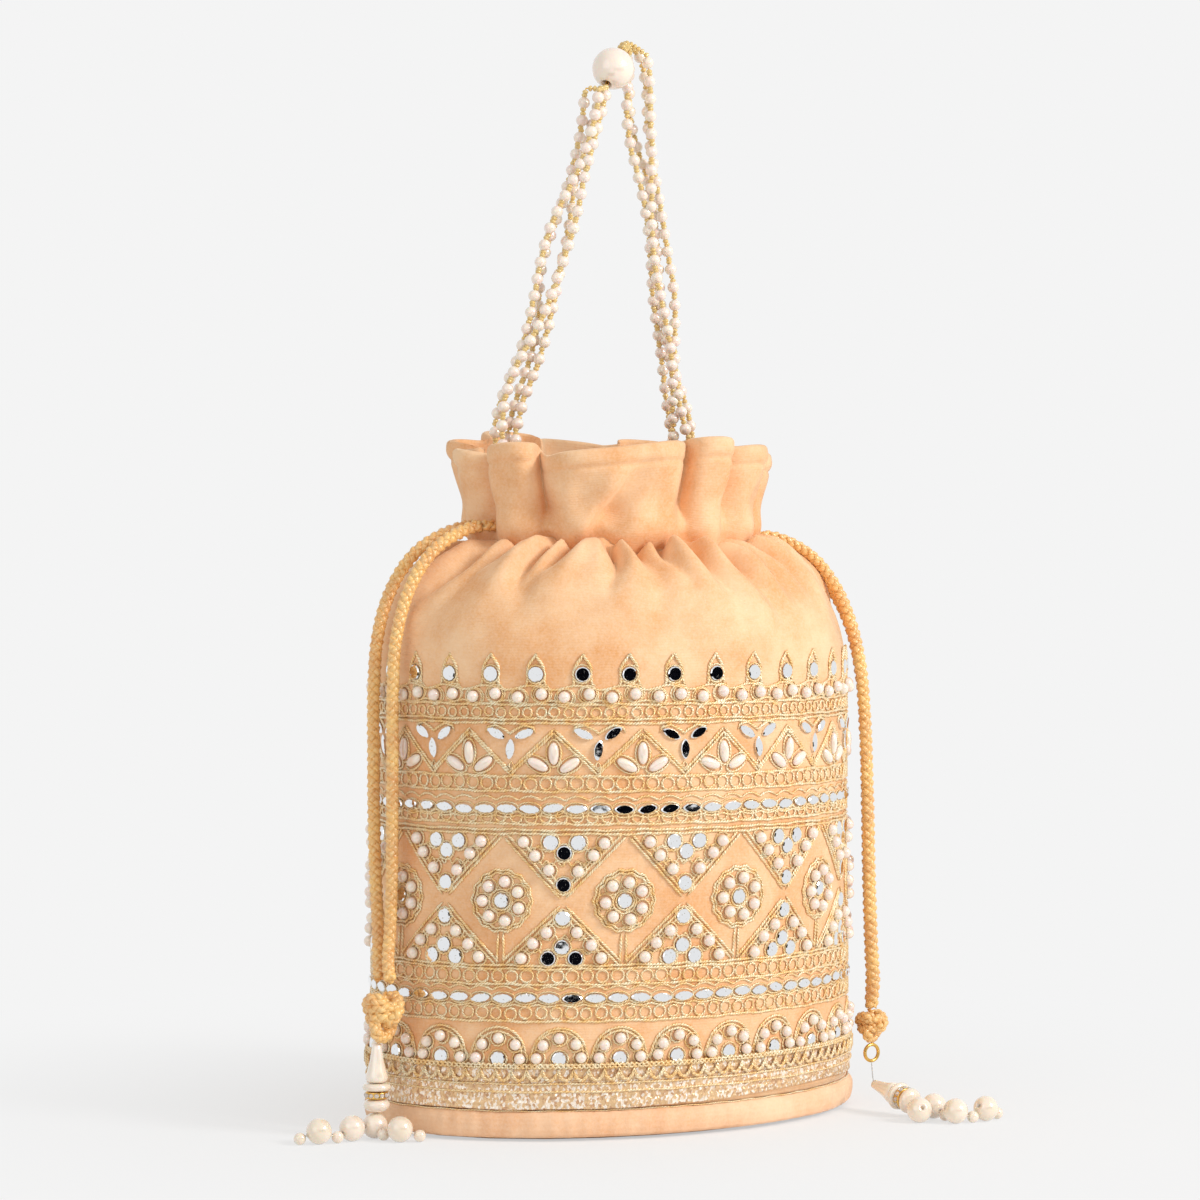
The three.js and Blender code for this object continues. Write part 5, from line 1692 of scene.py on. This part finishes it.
# The jump ring under the right knot and the clear thread from it to the lying tassel
jumpRing = {"radius": 2.8, "wire": 0.6, "drop": 9.7}
nylon = {"radius": 0.16, "apart": 0.28, "intoTassel": 0.4}


def makeRing():
    shape = newShape()
    radius, wire = jumpRing["radius"], jumpRing["wire"]
    middle = np.array(knots["right"]["middle"]) - [0, 0, jumpRing["drop"]]
    circle = circleOf(np.array([radius, 0, 0]), np.array([0, 0, radius]), 48) + middle
    addGrid(shape, tubeRings(circle, wire, 10, closed=True), closedRows=True)
    putMesh("ring_right", shape, finishes["gilt"], replaces=("jump_ring_right",))
    thread = newShape()
    top = middle - [0, 0, radius + wire + 0.3]
    end = np.array(tassel["right"]["tip"]) - unit(np.array(tassel["right"]["axis"])) * nylon["intoTassel"]
    for side in (-nylon["apart"], nylon["apart"]):
        aside = np.array([0.6 * side, side, 0])
        line = smoothLine([top + aside, (top + end) / 2 + 1.6 * aside, end + aside], 24)
        addGrid(thread, tubeRings(line, nylon["radius"], 6), lengthAlong(line))
    putMesh("nylon_right", thread, finishes["nylon"], replaces=("nylon_thread_right",))


makeRing()
print("knots and tassels made")

# Handle: four strands of pearls and seed beads on wire, up the left leg, through the large pearl and down the
# right leg. Each leg point is a share of the way out to its foot, the place across and the height
handle = {
    "strands": 4,
    "spread": 4.4,
    "twist": 2.2,
    "pitch": 6,
    "pearlRadius": 2.05,
    "seedRadius": 1.08,
    "middle": (0.5, 0, 349.4),
    "radius": 7.15,
    "bore": (0.55, 0.25, 0.8),
    "boreRadius": 1.8,
    "crest": (8.2, 3.6, 358.2),
    "mouth": 7.9,
    "threadSpread": 0.95,
    "wire": 0.26,
    "leftX": (-6.4, -39.5),  # of the leg's top and foot
    "rightX": (12.6, 36.4),
    "points": 16,  # of a leg's line in each pearl's pitch
}
leftLeg = [
    (1, 0, 204.8), (1.045, 0, 214), (1.045, 0, 226), (0.955, 0, 239), (0.819, 0, 252), (0.637, 0, 269),
    (0.456, 0, 288), (0.32, 0, 302), (0.184, -0.4, 317), (0.079, -0.8, 330), (0, -1.4, 341.5),
]
rightLeg = [
    (-0.03, 4.2, 355.0), (0, 4.4, 351.4), (0.008, 4.2, 343.5), (0.017, 3.6, 333), (0.143, 3.8, 317),
    (0.269, 4.4, 301), (0.412, 5.2, 283), (0.538, 6, 264), (0.672, 6.8, 245), (0.815, 7.4, 227),
    (0.933, 7.8, 213), (1, 8, 204.8),
]


# A leg's points, worked out from the places along X of its top and foot
def legPoints(ends, points):
    topX, footX = ends
    return [(topX + (footX - topX) * share, y, z) for share, y, z in points]


# Places at a distance and turn round a line, measured from the world's Y axis
def roundLine(line, tangent, distance, angle):
    across = unit(np.cross(np.array([0, 1.0, 0]), tangent))
    over = np.cross(tangent, across)
    distance = np.broadcast_to(distance, len(line))[:, None]
    return line + distance * (np.cos(angle)[:, None] * across + np.sin(angle)[:, None] * over)


# One leg of a strand winds round the handle's middle line, looser here and tighter there
def strandLeg(points, turnStart, turnEnd):
    length = lengthAlong(smoothLine(points, 400))[-1]
    periods = int(round(length / handle["pitch"]))
    fine = smoothLine(points, periods * handle["points"] + 1)
    tangent = unit(np.gradient(fine, axis=0))
    share = np.linspace(0, 1, len(fine))
    loose = 0.82 + 0.2 * np.sin(13 * share + 3.1 * turnStart)
    angle = turnStart + (turnEnd - turnStart) * share + 0.55 * np.sin(11 * share + 2.3 * turnStart)
    line = roundLine(fine, tangent, handle["spread"] * loose, angle)
    return line, periods


def seedBalls(middles, axes):
    return ballRings(middles, axes, handle["seedRadius"], 6, 8, squash=0.72)


# A strand runs up one leg and down the other, with a pearl in each pitch and two seed beads between pearls
def makeStrand(strand):
    turn = strand / handle["strands"] * fullTurn + 0.4
    pearls, seeds, threads = newShape(), newShape(), newShape()
    bore = unit(np.array(handle["bore"]))
    middle = np.array(handle["middle"])
    legs = (
        (legPoints(handle["leftX"], leftLeg), turn, turn + handle["twist"]),
        (legPoints(handle["rightX"], rightLeg), turn + handle["twist"], turn + 2 * handle["twist"]),
    )
    lines = []
    for points, turnStart, turnEnd in legs:
        line, periods = strandLeg(points, turnStart, turnEnd)
        lines.append(line)
        along = unit(np.gradient(line, axis=0))
        each = handle["points"]
        first = (3 + 5 * strand) % each
        pearlIndex = np.arange(periods) * each + first
        addGrid(pearls, ballRings(line[pearlIndex], along[pearlIndex], handle["pearlRadius"], 9, 12))
        gaps = (np.arange(periods + 1)[:, None] * each + first - each / 2 + np.array([-1.6, 1.6])).ravel()
        low = np.floor(gaps[(gaps > 0) & (gaps < len(line) - 2)]).astype(int)
        seedPlace = (line[low] + line[low + 1]) / 2 + dice.normal(0, 0.14, (len(low), 3))
        addGrid(seeds, seedBalls(seedPlace, along[low]))
    # Through the large pearl's bore, just beyond its two mouths, and over its crest
    beyond = bore * handle["mouth"]
    angle = np.array([turn + handle["twist"]])
    enter = roundLine((middle - beyond)[None], bore[None], handle["threadSpread"], angle)
    leave = roundLine((middle + beyond)[None], bore[None], handle["threadSpread"], angle)
    over = np.array(handle["crest"]) + enter[0] - middle + beyond
    seedLine = smoothLine([lines[0][-1], middle - bore * 8.8, enter[0]], 6)[1:-1]
    crestLine = smoothLine([leave[0], over, lines[1][0]], 9)[1:-1]
    for line in (seedLine, crestLine):
        addGrid(seeds, seedBalls(line, np.gradient(line, axis=0)))
    whole = np.vstack([lines[0], seedLine, enter, leave, crestLine, lines[1]])[::2]
    addGrid(threads, tubeRings(whole, handle["wire"], 4), lengthAlong(whole))
    name = "strand_" + str(strand + 1)
    node = "handle_strand_" + str(strand + 1)
    putMesh(name + "_pearls", pearls, finishes["pearl"], replaces=(node,))
    putMesh(name + "_seeds", seeds, finishes["amber"])
    putMesh(name + "_wire", threads, finishes["gilt"])


# The large pearl is a ball with a bore through it, a closed loop of profile turned round the bore
def makeLargePearl():
    mouth = np.arcsin(handle["boreRadius"] / handle["radius"])
    angle = np.linspace(mouth, np.pi - mouth, 40)
    profile = handle["radius"] * np.stack([np.sin(angle), -np.cos(angle)], -1)
    profile = np.vstack([profile, [[1.7, 5.5], [1.7, -5.5]]])
    shape = newShape()
    addGrid(shape, turnedRings(profile, handle["middle"], handle["bore"], 56), closedRows=True)
    putMesh("large_pearl", shape, finishes["pearl"], replaces=("handle_pearl",))


for strand in range(handle["strands"]):
    makeStrand(strand)
makeLargePearl()
print("handle made")

# CAD pieces whose shape is right keep it and get their finish
for node, finish in (
    ("base_panel", "hemVelvet"), ("base_board", "board"),
    ("handle_anchor_left", "gilt"), ("handle_anchor_right", "gilt"),
):
    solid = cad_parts[node]
    solid.data.materials.clear()
    solid.data.materials.append(finishes[finish])

# The cords: each leaves the neck through its slit and ends in its side's knot. The loop below only reads each
# cord's side from its name
for name, line in cordLines.items():
    side = "left" if "left" in name else "right"

# Studio: a floor that fades into a white backdrop, a wide soft key from the right, a fill from the left
studio = {
    "backdrop": (0.905, 0.905, 0.905, 1),
    "floor": (0.9, 0.9, 0.9, 1),
    "air": (1, 0.99, 0.975, 1),
    "ambient": 0.63,
    "key": {"place": (0.95, -1.65, 1.15), "size": 0.7, "power": 28.0},
    "fill": {"place": (-1.9, -0.6, 0.9), "size": 1.6, "power": 4.0},
    "aim": (0, 0, 0.14),
    "fadeFrom": -0.28,
    "fadeTo": 0.36,
    "halfFloor": 9,
}


# 1 for what the camera, a reflection or a clear piece shows, and 0 for the light that falls on the bag
def seenDirectly(tree):
    path = addNode(tree, "ShaderNodeLightPath")
    both = mathNode(tree, "ADD", (path, "Is Camera Ray"), (path, "Is Glossy Ray"))
    return mathNode(tree, "MINIMUM", mathNode(tree, "ADD", both, (path, "Is Transmission Ray")), 1.0)


def makeWorld():
    world = bpy.data.worlds.new("studio")
    world.use_nodes = True
    tree = world.node_tree
    tree.nodes.clear()
    light = addNode(tree, "ShaderNodeBackground", {"Color": studio["air"], "Strength": studio["ambient"]})
    shown = addNode(tree, "ShaderNodeBackground", {"Color": studio["backdrop"], "Strength": 1.0})
    mix = addNode(tree, "ShaderNodeMixShader", {0: seenDirectly(tree)})
    tree.links.new(light.outputs[0], mix.inputs[1])
    tree.links.new(shown.outputs[0], mix.inputs[2])
    output = addNode(tree, "ShaderNodeOutputWorld")
    tree.links.new(mix.outputs[0], output.inputs["Surface"])
    bpy.context.scene.world = world


def makeFloor():
    material, tree, shader = startMaterial(
        "studio_floor", Base_Color=studio["floor"], Roughness=0.9, Specular_IOR_Level=0.0
    )
    glow = addNode(tree, "ShaderNodeEmission", {"Color": studio["backdrop"], "Strength": 1.0})
    distance = addNode(tree, "ShaderNodeVectorMath", {0: objectPlace(tree)}, operation="LENGTH")
    fade = addNode(tree, "ShaderNodeMapRange", {
        "Value": (distance, "Value"), "From Min": studio["fadeFrom"], "From Max": studio["fadeTo"],
    })
    fade.interpolation_type = "SMOOTHSTEP"
    factor = mathNode(tree, "MULTIPLY", (fade, "Result"), seenDirectly(tree))
    mix = addNode(tree, "ShaderNodeMixShader", {0: factor})
    tree.links.new(shader.outputs[0], mix.inputs[1])
    tree.links.new(glow.outputs[0], mix.inputs[2])
    tree.links.new(mix.outputs[0], tree.nodes["Material Output"].inputs["Surface"])
    data = bpy.data.meshes.new("studio_floor")
    half = studio["halfFloor"]
    corners = [(-half, -half, 0), (half, -half, 0), (half, half, 0), (-half, half, 0)]
    data.from_pydata(corners, [], [(0, 1, 2, 3)])
    data.materials.append(material)
    floor = bpy.data.objects.new("studio_floor", data)
    bpy.context.scene.collection.objects.link(floor)


def makeLamp(name, look):
    data = bpy.data.lights.new(name, "AREA")
    data.shape = "DISK"
    data.size = look["size"]
    data.energy = look["power"]
    lamp = bpy.data.objects.new(name, data)
    lamp.location = look["place"]
    aim = np.array(studio["aim"]) - np.array(look["place"])
    lamp.rotation_euler = (
        np.arctan2(np.hypot(aim[0], aim[1]), -aim[2]), 0, np.arctan2(aim[1], aim[0]) - np.pi / 2,
    )
    bpy.context.scene.collection.objects.link(lamp)


# Dark studio cards that only reflections show: the photograph's mirrors are black where they face the camera
cards = {
    "black": (0.004, 0.004, 0.006, 1),
    "standing": [(-0.60, -1.0, 0.01), (0.50, -1.0, 0.01), (0.50, -1.0, 0.33), (-0.60, -1.0, 0.33)],
    "lying": [(-0.14, -0.29, 0.002), (-0.30, -0.15, 0.002), (-0.70, -0.30, 0.002), (-0.22, -0.60, 0.002)],
}


def makeCard(name, corners):
    material, _, _ = startMaterial(
        "studio_" + name, Base_Color=cards["black"], Roughness=1.0, Specular_IOR_Level=0.0
    )
    data = bpy.data.meshes.new("studio_" + name)
    data.from_pydata(corners, [], [(0, 1, 2, 3)])
    data.materials.append(material)
    card = bpy.data.objects.new("studio_" + name, data)
    card.visible_camera = False
    card.visible_diffuse = False
    card.visible_shadow = False
    card.visible_transmission = False
    bpy.context.scene.collection.objects.link(card)


makeWorld()
makeFloor()
makeLamp("key", studio["key"])
makeLamp("fill", studio["fill"])
for name in ("standing", "lying"):
    makeCard(name, cards[name])
print("studio made")
